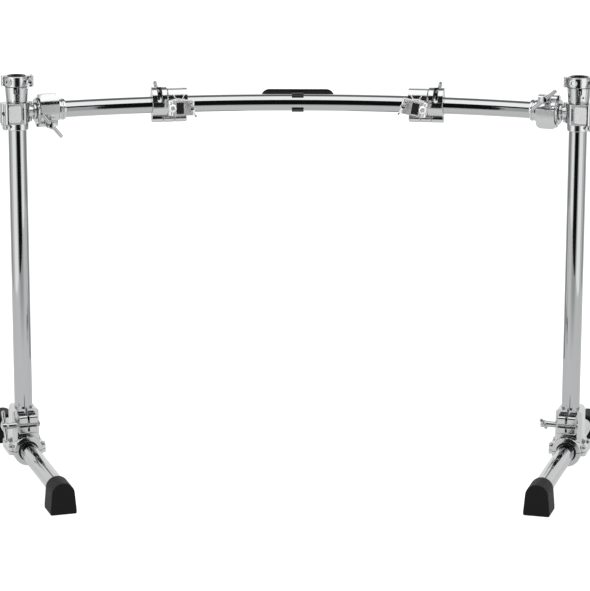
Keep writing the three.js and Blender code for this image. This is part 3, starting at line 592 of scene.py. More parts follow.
@dataclass(frozen=True)
class TeeHandle:
    """Bolt with a T handle, along Y with the handle towards -Y; sizes in millimetres.

    Attributes:
        hub: Radius of the hub's head.
        collar: Radius of the hub's foot.
        bar_drop: Distance of the cross bar from the hub's head.
        waist_ease: Step from the hub's head down to its foot.
        ridge: Half of the width of a turn of the thread.
    """

    hub: float = 8.5
    collar: float = 7.0
    hub_length: float = 22.0
    bar: float = 4.3
    bar_drop: float = 6.5
    span: float = 72.0
    head_ease: Ease = ((-2.4, 0), (-0.7, 0.7), (0, 2.4))
    waist_ease: Ease = ((0.4, 2.2), (0, 4.0))
    foot_ease: Ease = ((0, -1.2), (-0.6, 0))
    tip_ease: Ease = ((-2.2, 0), (-0.7, 0.6), (0, 2.0))
    pitch: float = 1.5
    ridge: float = 0.6
    ridge_ease: Ease = ((-0.2, -0.5), (0.25, 0), (-0.2, 0.5))
    first_turn: float = 3.0
    last_turn: float = 2.0

    def build(self, face: float, tilt: float, tip: float) -> Solid:
        """Makes the whole bolt.

        Args:
            face: Distance of the face that the hub bears on.
            tilt: Turn of the cross bar from X, in degrees.
            tip: Where the shank ends.

        Returns:
            The bolt with its handle.
        """
        foot = -face - FIT.gap
        head = foot - self.hub_length
        place = head + self.bar_drop
        waist = place + self.bar
        hub = turned(Axis.Y, [
            (0, head), *edged(self.hub, head, self.head_ease), (self.hub, waist),
            *edged(self.collar, waist, self.waist_ease), *edged(self.collar, foot, self.foot_ease),
            (0, foot),
        ])
        end = self.span / 2
        profile = [(0, -end), *edged(self.bar, -end, self.tip_ease)]
        mirrored = [(radius, -x) for radius, x in reversed(profile)]
        cross = turned(Axis.X, profile + mirrored, Sides.HEAD).spun(tilt, Axis.Y).at(y=place)
        shank = rod(Axis.Y, BOLT_RADIUS, (foot - FIT.sunk, tip), 0, Sides.SCREW)
        return shank.join(hub, cross, *self._threads(foot, tip))

    def _threads(self, foot: float, tip: float) -> list[Solid]:
        """Gives the thread of the shank as a row of fine ridges.

        Args:
            foot: Place of the hub's foot.
            tip: Where the shank ends.

        Returns:
            The ridges.
        """
        ridges = []
        place = foot + self.first_turn
        while place < tip - self.last_turn:
            ridges.append(turned(Axis.Y, [
                (0, place - self.ridge), *edged(BOLT_RADIUS, place, self.ridge_ease), (0, place + self.ridge),
            ], Sides.PIN))
            place += self.pitch
        return ridges


@dataclass(frozen=True)
class WingBolt:
    """Bolt with a wing nut for its head, along Y with the wings towards -Y.

    Attributes:
        rim: Half of a wing's thickness at its rim.
        lobe: Radii of a wing's round lobe.
        lean: How far the lobes stand out past the hub's head.
        root: Place of the wings' roots: out from the middle, and up from the foot.
        dip: Depth of the dip between the wings.
        depth: How far out the wings' thinning reaches.
    """

    hub: float = 7.0
    hub_length: float = 14.0
    span: float = 40.0
    thickness: float = 4.6
    rim: float = 1.5
    shank: float = 3.0
    head_ease: Ease = ((-2.2, 0), (-0.8, 0.8), (-0.2, 3.0))
    foot_ease: Ease = ((0, -1.0), (-0.6, 0))
    lobe: Point = (5.2, 6.1)
    lean: float = 2.2
    lobe_start: float = -75.0
    lobe_step: float = 15.0
    lobe_points: int = 13
    root: Point = (6.0, 6.0)
    dip: float = 1.2
    depth: float = 12.0

    def build(self, face: float, tilt: float, tip: float) -> Solid:
        """Makes the whole bolt.

        Args:
            face: Distance of the face that the hub bears on.
            tilt: Turn of the wings from X, in degrees.
            tip: Where the shank ends.

        Returns:
            The bolt with its wings.
        """
        foot = -face - FIT.gap
        head = foot - self.hub_length
        hub = turned(Axis.Y, [
            (0, head), *edged(self.hub, head, self.head_ease),
            *edged(self.hub, foot, self.foot_ease), (0, foot),
        ])
        wings = prism(Axis.Z, self._outline(foot, head), both(self.thickness / 2))
        wings = wings.keep(self._waist(foot, head)).spun(tilt, Axis.Y)
        return rod(Axis.Y, self.shank, (foot - FIT.sunk, tip), 0, Sides.SCREW).join(hub, wings)

    def _outline(self, foot: float, head: float) -> list[Point]:
        """Gives the outline of both wings: two rounded lobes that lean outwards.

        Args:
            foot: Place of the hub's foot.
            head: Place of its head.

        Returns:
            The outline's points.
        """
        centre_x, centre_y = self.span / 2 - self.lobe[0], head - self.lean
        lobe = []
        for i in range(self.lobe_points):
            angle = math.radians(self.lobe_start + self.lobe_step * i)
            x, y = self.lobe[0] * math.cos(angle), self.lobe[1] * math.sin(angle)
            lobe.append((centre_x + x, centre_y - y))
        right = [(self.root[0], foot - self.root[1]), *lobe, (0, head + self.dip)]
        left = [(-x, y) for x, y in reversed(right[:-1])]
        return right + left

    def _waist(self, foot: float, head: float) -> Solid:
        """Gives the lens that thins the wings towards their rims.

        Args:
            foot: Place of the hub's foot.
            head: Place of its head.

        Returns:
            The lens.
        """
        half, root, thick = self.span / 2, self.root[0], self.thickness / 2
        near = [(-half, -self.rim), (-root, -thick), (root, -thick), (half, -self.rim)]
        far = [(x, -y) for x, y in reversed(near)]
        return prism(Axis.Y, near + far, (head - self.depth, foot))


@dataclass(frozen=True)
class Swivel:
    """Toothed disc that locks a swivel, standing along X.

    Attributes:
        plate: Thickness of the disc.
        tooth_half: Half of the width of the gap between two teeth.
        plane: Distance of the swivel's plane from the post.
    """

    radius: float = 19.0
    neck: float = 13.0
    plate: float = 6.0
    tooth: float = 1.5
    tooth_half: float = 0.9
    tooth_length: float = 6.0
    edge: float = 0.7
    plane: float = 42.0
    teeth: int = 24

    def disc(self, place: float, side: int) -> Solid:
        """Makes the disc with its face at the place, looking to the side given.

        Args:
            place: Distance of the disc's face.
            side: Way that it looks, 1 or -1.

        Returns:
            The disc.
        """
        face = place - side * FIT.gap / 2
        form = rod(Axis.X, self.radius, ordered(face - side * self.plate, face), self.edge, Sides.SHELL)
        span = ordered(face - side * self.tooth, face + side * self.tooth)
        reach = (self.radius - self.tooth_length, self.radius + FIT.overrun)
        cut = box(span, both(self.tooth_half), reach)
        return form.cut(*[cut.spun(360 * i / self.teeth, Axis.X) for i in range(self.teeth)])


TEE = TeeHandle()
SHORT_TEE = TeeHandle(span=42.0)
CLEAR_TEE = TeeHandle(hub_length=24.0)
LONG_TEE = TeeHandle(hub_length=34.0)
WINGS = WingBolt()
SWIVEL = Swivel()


def shade(grey: float) -> tuple[float, ...]:
    """Gives an opaque grey."""
    return (grey, grey, grey, 1)


@dataclass(frozen=True)
class Coat:
    """What every finish has: its name, its gloss and the fine relief of its surface.

    Attributes:
        name: Name of the material.
        roughness: Middle of the range of its gloss.
        spread: How far the roughness wanders from the middle.
        grain: Scale of the wandering, per metre.
        relief: Depth of the relief, in metres.
        edge: Radius that sharp edges are shaded with, in metres.
    """

    name: str
    roughness: float
    spread: float
    grain: float
    relief: float
    edge: float

    def surfaced(self, graph: "Graph", shader: bpy.types.Node, noise: bpy.types.Node,
                 fine: bpy.types.Node) -> bpy.types.Material:
        """Gives the shader its gloss and relief and ends the material.

        Args:
            graph: Material that is being built.
            shader: Its shader.
            noise: Noise that the gloss wanders with.
            fine: Noise that is the height of the relief.

        Returns:
            The finished material.
        """
        low, high = self.roughness - self.spread, self.roughness + self.spread
        graph.link(graph.ranged(noise.outputs["Fac"], low, high), shader.inputs["Roughness"])
        graph.link(graph.bumped(fine.outputs["Fac"], self.relief, self.edge), shader.inputs["Normal"])
        return graph.finished(shader)


@dataclass(frozen=True)
class Metal(Coat):
    """Plated metal with a fine unevenness in its polish.

    Attributes:
        colour: Base colour of the plating.
        detail: Detail of the wandering.
        relief_grain: How much finer the relief is than the wandering.
        relief_detail: Detail of the relief.
    """

    colour: Spot
    detail: float = 3
    relief_grain: float = 4
    relief_detail: float = 2

    def material(self) -> bpy.types.Material:
        """Builds the node material.

        Returns:
            The material.
        """
        graph = Graph(self.name)
        shader = graph.add("ShaderNodeBsdfPrincipled")
        shader.inputs["Base Color"].default_value = (*self.colour, 1)
        shader.inputs["Metallic"].default_value = 1
        noise = graph.noise(self.grain, self.detail)
        fine = graph.noise(self.grain * self.relief_grain, self.relief_detail)
        return self.surfaced(graph, shader, noise, fine)


@dataclass(frozen=True)
class Polymer(Coat):
    """Moulded rubber or plastic with a fine grain.

    Attributes:
        dark: Darker of the two colours that the grain moves between.
        light: Lighter of the two.
        sheen: Strength of its reflections.
        detail: Detail of the grain.
    """

    dark: Spot
    light: Spot
    sheen: float
    detail: float = 4

    def material(self) -> bpy.types.Material:
        """Builds the node material.

        Returns:
            The material.
        """
        graph = Graph(self.name)
        shader = graph.add("ShaderNodeBsdfPrincipled")
        noise = graph.noise(self.grain, self.detail)
        colours = graph.add("ShaderNodeMix")
        colours.data_type = "RGBA"
        graph.link(noise.outputs["Fac"], colours.inputs["Factor"])
        colours.inputs["A"].default_value = (*self.dark, 1)
        colours.inputs["B"].default_value = (*self.light, 1)
        graph.link(colours.outputs["Result"], shader.inputs["Base Color"])
        shader.inputs["Specular IOR Level"].default_value = self.sheen
        return self.surfaced(graph, shader, noise, noise)


class Graph:
    """A node material while it is being built.

    Attributes:
        middle: Range of a noise's output that is used.
        soft_samples: Samples of a softened edge.
    """

    middle: Span = (0.3, 0.7)
    soft_samples: int = 6

    def __init__(self, name: str) -> None:
        """Starts an empty node tree for a new material.

        Args:
            name: Name of the material.
        """
        self.holder = bpy.data.materials.new(name)
        self.holder.use_nodes = True
        self.tree = self.holder.node_tree
        self.tree.nodes.clear()
        self.place = self.add("ShaderNodeTexCoord")

    def add(self, kind: str) -> bpy.types.Node:
        """Adds a node of the kind given."""
        return self.tree.nodes.new(kind)

    def link(self, output: bpy.types.NodeSocket, socket: bpy.types.NodeSocket) -> None:
        """Joins an output to a socket."""
        self.tree.links.new(output, socket)

    def noise(self, scale: float, detail: float) -> bpy.types.Node:
        """Adds noise that is fixed to the object.

        Args:
            scale: Scale of the noise, per metre.
            detail: Its detail.

        Returns:
            The node.
        """
        node = self.add("ShaderNodeTexNoise")
        node.inputs["Scale"].default_value = scale
        node.inputs["Detail"].default_value = detail
        self.link(self.place.outputs["Object"], node.inputs["Vector"])
        return node

    def ranged(self, value: bpy.types.NodeSocket, low: float, high: float) -> bpy.types.NodeSocket:
        """Maps the middle of a noise's range to the range given.

        Args:
            value: The noise's output.
            low: Lower end of the new range.
            high: Upper end of it.

        Returns:
            The socket of the mapped value.
        """
        node = self.add("ShaderNodeMapRange")
        node.inputs["From Min"].default_value = self.middle[0]
        node.inputs["From Max"].default_value = self.middle[1]
        node.inputs["To Min"].default_value = low
        node.inputs["To Max"].default_value = high
        self.link(value, node.inputs["Value"])
        return node.outputs["Result"]

    def bumped(self, value: bpy.types.NodeSocket, depth: float, edge: float) -> bpy.types.NodeSocket:
        """Gives a normal with soft edges and a fine relief.

        Args:
            value: Height of the relief, from 0 to 1.
            depth: Depth of the relief, in metres.
            edge: Radius of the softened edges, in metres.

        Returns:
            The socket of the normal.
        """
        soft = self.add("ShaderNodeBevel")
        soft.samples = self.soft_samples
        soft.inputs["Radius"].default_value = edge
        node = self.add("ShaderNodeBump")
        node.inputs["Strength"].default_value = 1
        node.inputs["Distance"].default_value = depth
        self.link(value, node.inputs["Height"])
        self.link(soft.outputs["Normal"], node.inputs["Normal"])
        return node.outputs["Normal"]

    def finished(self, shader: bpy.types.Node) -> bpy.types.Material:
        """Joins the shader to the surface and gives the material.

        Args:
            shader: Node whose output is shown.

        Returns:
            The material.
        """
        output = self.add("ShaderNodeOutputMaterial")
        self.link(shader.outputs[0], output.inputs["Surface"])
        return self.holder


CHROME_TUBE = Metal("chromed_tube", 0.05, 0.015, 18, 0.00002, 0.0004, colour=(0.5, 0.505, 0.51))
CHROME_CASTING = Metal("chromed_casting", 0.14, 0.04, 40, 0.00006, 0.0011, colour=(0.6, 0.605, 0.61))
SATIN_CHROME = Metal("satin_chrome", 0.42, 0.04, 90, 0.00002, 0.0009, colour=(0.97, 0.97, 0.97))
CHROME_HARDWARE = Metal("chromed_hardware", 0.07, 0.02, 60, 0.00003, 0.0006, colour=(0.5, 0.505, 0.51))
RUBBER = Polymer("rubber_feet", 0.55, 0.06, 300, 0.0001, 0.0012,
                 dark=(0.007, 0.007, 0.008), light=(0.012, 0.012, 0.013), sheen=0.15)
NYLON = Polymer("nylon", 0.45, 0.06, 400, 0.00005, 0.0005,
                dark=(0.009, 0.009, 0.01), light=(0.014, 0.014, 0.015), sheen=0.35)
SATIN = Polymer("satin_plastic", 0.32, 0.05, 500, 0.00003, 0.0008,
                dark=(0.011, 0.011, 0.012), light=(0.015, 0.015, 0.016), sheen=0.35)


class Finish(Enum):
    """Finishes of the object."""

    TUBE = CHROME_TUBE
    CASTING = CHROME_CASTING
    PLATE = SATIN_CHROME
    HARDWARE = CHROME_HARDWARE
    RUBBER = RUBBER
    NYLON = NYLON
    SATIN = SATIN

    @property
    def slot(self) -> str:
        """Gives a slot name for the finish: the chromed casting's for the plate, its own material's for the
        rest.
        """
        return CHROME_CASTING.name if self is Finish.PLATE else self.value.name


NODE_FINISHES = (
    (("_tube",), Finish.TUBE),
    (("_handle", "_wing_bolt", "_screw"), Finish.HARDWARE),
    (("_foot",), Finish.RUBBER),
    (("_bushing", "_liner", "_pad"), Finish.NYLON),
    (("_plug", "badge_plate"), Finish.SATIN),
    (("_accessory_block", "_accessory_gate"), Finish.PLATE),
)
SHARP_ANGLE = math.radians(32)


@dataclass(frozen=True)
class Card:
    """Flat glowing card that only reflections show, standing in for a studio's flags and walls: a painted
    reflection that lights nothing.

    Attributes:
        low: One corner of it, in metres.
        high: The opposite corner.
    """

    name: str
    grey: float
    low: Spot
    high: Spot

    def build(self) -> None:
        """Makes the card, a glowing sheet unseen by the camera, by soft light and by shadows."""
        (x0, y0, z0), (x1, y1, z1) = self.low, self.high
        corners = [(x0, y0, z0), (x1, y0, z0) if z0 == z1 else (x1, y1, z0), (x1, y1, z1),
                   (x0, y1, z0) if z0 == z1 else (x0, y0, z1)]
        mesh = bpy.data.meshes.new(self.name)
        mesh.from_pydata(corners, [], [(0, 1, 2, 3)])
        card = bpy.data.objects.new(self.name, mesh)
        bpy.context.scene.collection.objects.link(card)
        graph = Graph(self.name)
        shader = graph.add("ShaderNodeEmission")
        # Painted reflection: the card glows with its grey, and only reflections see it.
        shader.inputs["Color"].default_value = shade(self.grey)
        mesh.materials.append(graph.finished(shader))
        card.visible_camera = False
        card.visible_diffuse = False
        card.visible_shadow = False


@dataclass(frozen=True)
class Lamp:
    """Rectangular lamp that the camera doesn't see.

    Attributes:
        place: Where it hangs, in metres.
        aim: What it points at.
        size: Its width and height, in metres.
    """

    name: str
    place: Spot
    aim: Spot
    size: Span
    power: float

    def build(self) -> None:
        """Hangs the lamp at its place and points it."""
        data = bpy.data.lights.new(self.name, "AREA")
        data.shape = "RECTANGLE"
        data.size, data.size_y = self.size
        data.energy = self.power
        lamp = bpy.data.objects.new(self.name, data)
        lamp.location = self.place
        lamp.rotation_euler = (Vector(self.aim) - Vector(self.place)).to_track_quat("-Z", "Y").to_euler()
        lamp.visible_camera = False
        bpy.context.scene.collection.objects.link(lamp)


@dataclass
class Stage:
    """Camera, floor, lights and backdrop.

    Attributes:
        eye: Place of the camera, in metres.
        lens: Focal length, in millimetres.
        sensor: Width of the camera's sensor, in millimetres.
        far: Distance that the camera sees to, in metres.
        pitch: How far the camera looks down, in radians.
        yaw: How far it is turned to the right, in radians.
        roll: How far it leans, in radians.
        soft_grey: Colour of the even light round the object.
        soft_strength: Strength of that light.
        floor_size: Width of the floor, in metres.
        floor_grey: Colour of the floor.
        floor_glow: Light that the floor adds for the camera.
        floor_share: Share of that light that the floor adds in reflections.
        painted_shade_place: Middle of a painted shade on the floor, which only reflections show.
        painted_shade_reach: Distances from it where the painted shade starts to fade, and where it ends.
    """

    eye: Spot = (0.001749, -5.937416, 1.82923)
    lens: float = 165.47
    sensor: float = 36
    far: float = 60
    pitch: float = 0.2332
    yaw: float = -0.0005
    roll: float = 0.0021
    soft_grey: float = 0.9
    soft_strength: float = 0.75
    floor_size: float = 24.0
    floor_grey: float = 0.62
    floor_glow: float = 0.8
    floor_share: float = 0.46
    # Painted shade: in reflections the floor's glow fades out round this spot in front of the object.
    painted_shade_place: Spot = (0.1, -2.4, 0.0)
    painted_shade_reach: Span = (0.7, 1.7)
    lamps: tuple[Lamp, ...] = (
        Lamp("top_light", (0.0, -0.75, 3.0), (0.0, -0.75, 0.0), (5.0, 2.5), 25),
        Lamp("side_light", (-3.2, -3.0, 2.6), (0.0, 0.0, 0.4), (1.2, 1.2), 16),
    )
    # Glowing cards for painted reflections: dark ones put dark bands, lighter ones grey and bright bands,
    # into the chrome.
    reflection_cards: tuple[Card, ...] = (
        Card("front_wall", 0.008, (-0.88, -1.95, 0.0), (0.88, -1.95, 2.75)),
        Card("front_beam", 0.008, (-2.1, -1.97, 1.75), (2.1, -1.97, 2.85)),
        Card("left_screen", 0.6, (-1.3, -1.95, 0.0), (-0.88, -1.95, 1.75)),
        Card("right_screen", 0.6, (0.88, -1.95, 0.0), (1.3, -1.95, 1.75)),
        Card("left_wall", 1.4, (-2.3, -0.7, 0.0), (-1.3, -1.8, 1.4)),
        Card("right_wall", 1.4, (1.3, -1.8, 0.0), (2.3, -0.7, 1.4)),
        Card("left_flag", 0.45, (-2.4, 0.2, 0.0), (-2.4, 1.3, 1.6)),
        Card("right_flag", 0.45, (2.4, 0.2, 0.0), (2.4, 1.3, 1.6)),
        Card("left_rear_flag", 0.3, (-0.31, 0.43, 0.0), (-0.12, 0.75, 0.85)),
        Card("right_rear_flag", 0.3, (0.31, 0.43, 0.0), (0.12, 0.75, 0.85)),
        Card("rear_flag", 0.2, (-3.0, 0.72, 1.2), (3.0, 0.72, 3.0)),
    )

    def build(self) -> None:
        """Makes everything round the object."""
        self._camera()
        self._world()
        self._floor()
        for item in (*self.lamps, *self.reflection_cards):
            item.build()
        bpy.context.scene.view_settings.view_transform = "Standard"
        logger.info("stage ready")

    def _camera(self) -> None:
        """Puts the camera where the photograph was taken from."""
        sine, cosine = math.sin(self.yaw), math.cos(self.yaw)
        level = math.cos(self.pitch)
        forward = Vector((sine * level, cosine * level, -math.sin(self.pitch)))
        right = Vector((cosine, -sine, 0))
        up = right.cross(forward)
        lean, upright = math.sin(self.roll), math.cos(self.roll)
        across = right * upright + up * lean
        above = up * upright - right * lean
        data = bpy.data.cameras.new("camera")
        data.lens = self.lens
        data.sensor_width = self.sensor
        data.clip_end = self.far
        camera = bpy.data.objects.new("camera", data)
        camera.matrix_world = Matrix((across, above, -forward)).transposed().to_4x4()
        camera.location = self.eye
        bpy.context.scene.collection.objects.link(camera)
        bpy.context.scene.camera = camera

    def _world(self) -> None:
        """Lights the object evenly, and shows white behind it."""
        world = bpy.data.worlds.new("studio")
        world.use_nodes = True
        tree = world.node_tree
        tree.nodes.clear()
        seen = backdrop_rays(tree, 1)
        soft = tree.nodes.new("ShaderNodeBackground")
        soft.inputs["Color"].default_value = shade(self.soft_grey)
        soft.inputs["Strength"].default_value = self.soft_strength
        white = tree.nodes.new("ShaderNodeBackground")
        white.inputs["Color"].default_value = shade(1)
        white.inputs["Strength"].default_value = 1
        mix = tree.nodes.new("ShaderNodeMixShader")
        output = tree.nodes.new("ShaderNodeOutputWorld")
        tree.links.new(seen.outputs[0], mix.inputs["Fac"])
        tree.links.new(soft.outputs[0], mix.inputs[1])
        tree.links.new(white.outputs[0], mix.inputs[2])
        tree.links.new(mix.outputs[0], output.inputs["Surface"])
        bpy.context.scene.world = world

    def _floor(self) -> None:
        """Lays a white floor that keeps the object's shadow, with a painted shade towards the front that only
        reflections show.
        """
        half = self.floor_size / 2
        mesh = bpy.data.meshes.new("floor")
        corners = [(-half, -half, 0), (half, -half, 0), (half, half, 0), (-half, half, 0)]
        mesh.from_pydata(corners, [], [(0, 1, 2, 3)])
        floor = bpy.data.objects.new("floor", mesh)
        bpy.context.scene.collection.objects.link(floor)
        graph = Graph("floor")
        matt = graph.add("ShaderNodeBsdfDiffuse")
        matt.inputs["Color"].default_value = shade(self.floor_grey)
        glow = graph.add("ShaderNodeEmission")
        strength = graph.add("ShaderNodeMath")
        strength.operation = "MULTIPLY"
        strength.inputs[1].default_value = self.floor_glow
        seen = backdrop_rays(graph.tree, self.floor_share)
        # Painted shade on the floor, seen only in reflections; the camera does not see it.
        graph.link(self._painted_floor_shade(graph), seen.inputs[1])
        graph.link(seen.outputs[0], strength.inputs[0])
        graph.link(strength.outputs[0], glow.inputs["Strength"])
        total = graph.add("ShaderNodeAddShader")
        graph.link(matt.outputs[0], total.inputs[0])
        graph.link(glow.outputs[0], total.inputs[1])
        mesh.materials.append(graph.finished(total))

    def _painted_floor_shade(self, graph: Graph) -> bpy.types.NodeSocket:
        """Gives the floor's share in reflections, with a painted shade that fades it to nothing round a spot
        in front of the object.

        Args:
            graph: Material of the floor.

        Returns:
            The socket of the share.
        """
        distance = graph.add("ShaderNodeVectorMath")
        distance.operation = "DISTANCE"
        graph.link(graph.place.outputs["Object"], distance.inputs[0])
        distance.inputs[1].default_value = self.painted_shade_place
        fade = graph.add("ShaderNodeMapRange")
        fade.interpolation_type = "SMOOTHSTEP"
        fade.inputs["From Min"].default_value = self.painted_shade_reach[0]
        fade.inputs["From Max"].default_value = self.painted_shade_reach[1]
        fade.inputs["To Min"].default_value = 0
        fade.inputs["To Max"].default_value = self.floor_share
        graph.link(distance.outputs["Value"], fade.inputs["Value"])
        return fade.outputs["Result"]


def backdrop_rays(tree: bpy.types.NodeTree, share: float) -> bpy.types.Node:
    """Adds a node that tells where the backdrop is seen.

    Args:
        tree: Node tree that it is added to.
        share: Value for rays that reach the backdrop by a reflection or a clear piece.

    Returns:
        The node; its output is 1 for what the camera sees, and the share is its second input.
    """
    path = tree.nodes.new("ShaderNodeLightPath")
    indirect = tree.nodes.new("ShaderNodeMath")
    indirect.operation = "MAXIMUM"
    tree.links.new(path.outputs["Is Glossy Ray"], indirect.inputs[0])
    tree.links.new(path.outputs["Is Transmission Ray"], indirect.inputs[1])
    total = tree.nodes.new("ShaderNodeMath")
    total.operation = "MULTIPLY_ADD"
    tree.links.new(indirect.outputs[0], total.inputs[0])
    total.inputs[1].default_value = share
    tree.links.new(path.outputs["Is Camera Ray"], total.inputs[2])
    return total


@dataclass
class Workshop:
    """Turns solids into pieces of the scene and dresses the CAD nodes.

    Attributes:
        nodes: CAD nodes by their names.
        shift: How far the assembly is moved to stand over the origin, in metres.
        materials: Node materials by their finishes.
    """

    nodes: dict[str, bpy.types.Object]
    shift: Spot = (0.003938989, 0.070652735, 0)
    materials: dict[Finish, bpy.types.Material] = field(default_factory=dict)

    def __post_init__(self) -> None:
        """Makes the materials."""
        self.materials = {finish: finish.value.material() for finish in Finish}

    def dress_frame(self) -> None:
        """Gives every CAD node the finish of its kind."""
        for name, node in self.nodes.items():
            finish = self.finish_of(name)
            node.data.materials.clear()
            node.data.materials.append(self.materials[finish])
            finish.slot

    def finish_of(self, node: str) -> Finish:
        """Finds the finish of a node by the end of its name.

        Args:
            node: Name of the node.

        Returns:
            Its finish.
        """
        for ends, finish in NODE_FINISHES:
            if node.endswith(ends):
                return finish
        return Finish.CASTING

    def publish(self, node: str, solid: Solid, place: Matrix) -> bpy.types.Object:
        """Shows a solid in the place of a CAD node.

        Args:
            node: Name of the CAD node that the solid stands for.
            solid: The solid in its own frame, in millimetres.
            place: Where the frame of the solid stands in the assembly.

        Returns:
            The new object.
        """
        shown = self.add(f"{node}_look", solid, place, node, self.finish_of(node))
        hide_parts(node)
        return shown

    def add(self, name: str, solid: Solid, place: Matrix, node: str, finish: Finish) -> bpy.types.Object:
        """Shows a solid that moves with a CAD node.

        Args:
            name: Name of the new object.
            solid: The solid in its own frame, in millimetres.
            place: Where the frame of the solid stands in the assembly.
            node: Name of the CAD node whose body carries it.
            finish: Finish that it gets.

        Returns:
            The new object.
        """
        whole = Matrix.Translation(self.shift) @ Matrix.Scale(MM, 4) @ place
        mesh = solid.moved(whole).mesh
        mesh.name = name
        shown = bpy.data.objects.new(name, mesh)
        bpy.context.scene.collection.objects.link(shown)
        mesh.materials.clear()
        mesh.materials.append(self.materials[finish])
        self._smooth(shown)
        finish.slot
        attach(shown, self.nodes[node]["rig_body"])
        logger.info("%s: %d faces", name, len(mesh.polygons))
        return shown

    def _smooth(self, shown: bpy.types.Object) -> None:
        """Shades a piece smoothly up to its real edges.

        Args:
            shown: Piece that is shaded.
        """
        mesh = shown.data
        mesh.shade_smooth()
        mesh.set_sharp_from_angle(angle=SHARP_ANGLE)
        even = shown.modifiers.new("even", "WEIGHTED_NORMAL")
        even.keep_sharp = True


def spot(x: float, y: float, z: float, turn: float = 0) -> Matrix:
    """Gives a place in the assembly: a shift, and a turn about Z in radians."""
    return Matrix.Translation((x, y, z)) @ Matrix.Rotation(turn, 4, "Z")


@dataclass(frozen=True)
class Plug:
    """Plastic plug in an end of the bar."""

    depth: float = 18.0
    lead: float = 1.0
    flange: Ease = ((-0.3, FIT.gap), (-0.3, 0.9), (-1.6, 1.9))
    crown: float = 1.95

    def build(self) -> Solid:
        """Makes the plug of the right end, its flange at the tube's end.

        Returns:
            The plug.
        """
        inner = BAR_RADIUS - WALL - FIT.gap
        profile = [(0, -self.depth), (inner - self.lead, -self.depth), (inner, self.lead - self.depth),
                   (inner, FIT.gap), *edged(BAR_RADIUS, 0, self.flange), (0, self.crown)]
        return turned(Axis.X, profile, Sides.SHELL)


@dataclass(frozen=True)
class BarRing:
    """Memory ring on the bar: two rounded bands and an ear, split at the back.

    Attributes:
        waist: Half of the distance between the bands.
        screw_place: Distance of the screw from the bar's axis.
    """

    shell: float = 24.2
    waist: float = 1.75
    reach: float = 8.5
    band_ease: Ease = ((-1.8, 0), (-0.5, 0.5), (0, 1.8))
    waist_ease: Ease = ((0, -1.0), (-0.6, -0.2), (-1.8, 0))
    ear: Block = Block(Axis.X, (0, 31), both(8), both(4.5), corner=2.5)
    slit: float = 0.8
    screw: Round = Round(Axis.Z, 2.6, (-6.4, -4), sides=Sides.SCREW)
    screw_place: float = 27.4

    def build(self) -> Solid:
        """Makes the ring.

        Returns:
            The ring.
        """
        band = edged(self.shell, -self.reach, self.band_ease)
        band += edged(self.shell, -self.waist, self.waist_ease)
        mirrored = [(radius, -place) for radius, place in reversed(band)]
        ring = turned(Axis.X, [(0, -self.reach), *band, *mirrored, (0, self.reach)], Sides.SHELL)
        slit = box(both(self.reach * 2), (0, self.ear.u[1] + FIT.overrun), both(self.slit))
        screw = self.screw.solid(y=self.screw_place)
        return ring.join(self.ear.solid()).cut(slit, bar_bore(both(self.reach)), screw)


SIDES = (("left", -1), ("right", 1))


@dataclass
class Bar:
    """The bowed bar with its plugs and memory rings.

    Attributes:
        clamp_centre: Distance of a corner's clamp from the swivel, along the bar.
        end_reach: Distance of the tube's end from that clamp.
        ring_reach: Distance of the memory ring from that clamp.
        middle_place: Distance of a middle clamp from the middle of the bar.
    """

    clamp_centre: float = 70.0
    end_reach: float = 19.0
    ring_reach: float = 31.1
    middle_place: float = 277.0

    def __post_init__(self) -> None:
        """Works out the angles at which things sit on the bow."""
        reach = math.hypot(self.clamp_centre, ARC_RADIUS)
        self.clamp_angle = math.asin(HALF_SPACING / reach) - math.atan(self.clamp_centre / ARC_RADIUS)
        self.end_angle = self.clamp_angle + self.end_reach / ARC_RADIUS
        self.ring_angle = self.clamp_angle - self.ring_reach / ARC_RADIUS
        self.middle_angle = math.asin(self.middle_place / ARC_RADIUS)
        self.depth = reach * math.cos(math.asin(HALF_SPACING / reach))

    def place(self, angle: float, flip: bool = False) -> Matrix:
        """Gives the place on the bar at an angle of the bow, turned over if asked.

        Args:
            angle: Angle along the bow, in radians.
            flip: Whether it is turned over.

        Returns:
            The place.
        """
        x = ARC_RADIUS * math.sin(angle)
        y = ARC_RADIUS * math.cos(angle) - self.depth
        turn = Matrix.Rotation(math.pi, 4, "Y") if flip else Matrix.Identity(4)
        return spot(x, y, AXIS_HEIGHT, -angle) @ turn

    def build(self, shop: Workshop) -> None:
        """Makes the tube, both plugs and both memory rings.

        Args:
            shop: Workshop that shows the pieces.
        """
        shop.publish("bar_tube", self._tube(), self.place(0))
        for name, side in SIDES:
            mirror = Matrix.Scale(side, 4, (1, 0, 0))
            shop.publish(f"{name}_bar_plug", Plug().build(), self.place(side * self.end_angle) @ mirror)
            ring = self.place(side * self.ring_angle, side < 0)
            shop.publish(f"{name}_bar_memory_ring", BarRing().build(), ring)

    def _tube(self) -> Solid:
        """Makes the bowed tube.

        Returns:
            The tube.
        """
        reach = self.end_angle
        outer = swept(BAR_RADIUS, ARC_RADIUS, both(reach), BAR_STEPS, Sides.SEAT)
        bore = both(reach + FIT.overrun / ARC_RADIUS)
        return outer.cut(swept(BAR_RADIUS - WALL, ARC_RADIUS, bore, BAR_STEPS, Sides.SHELL))


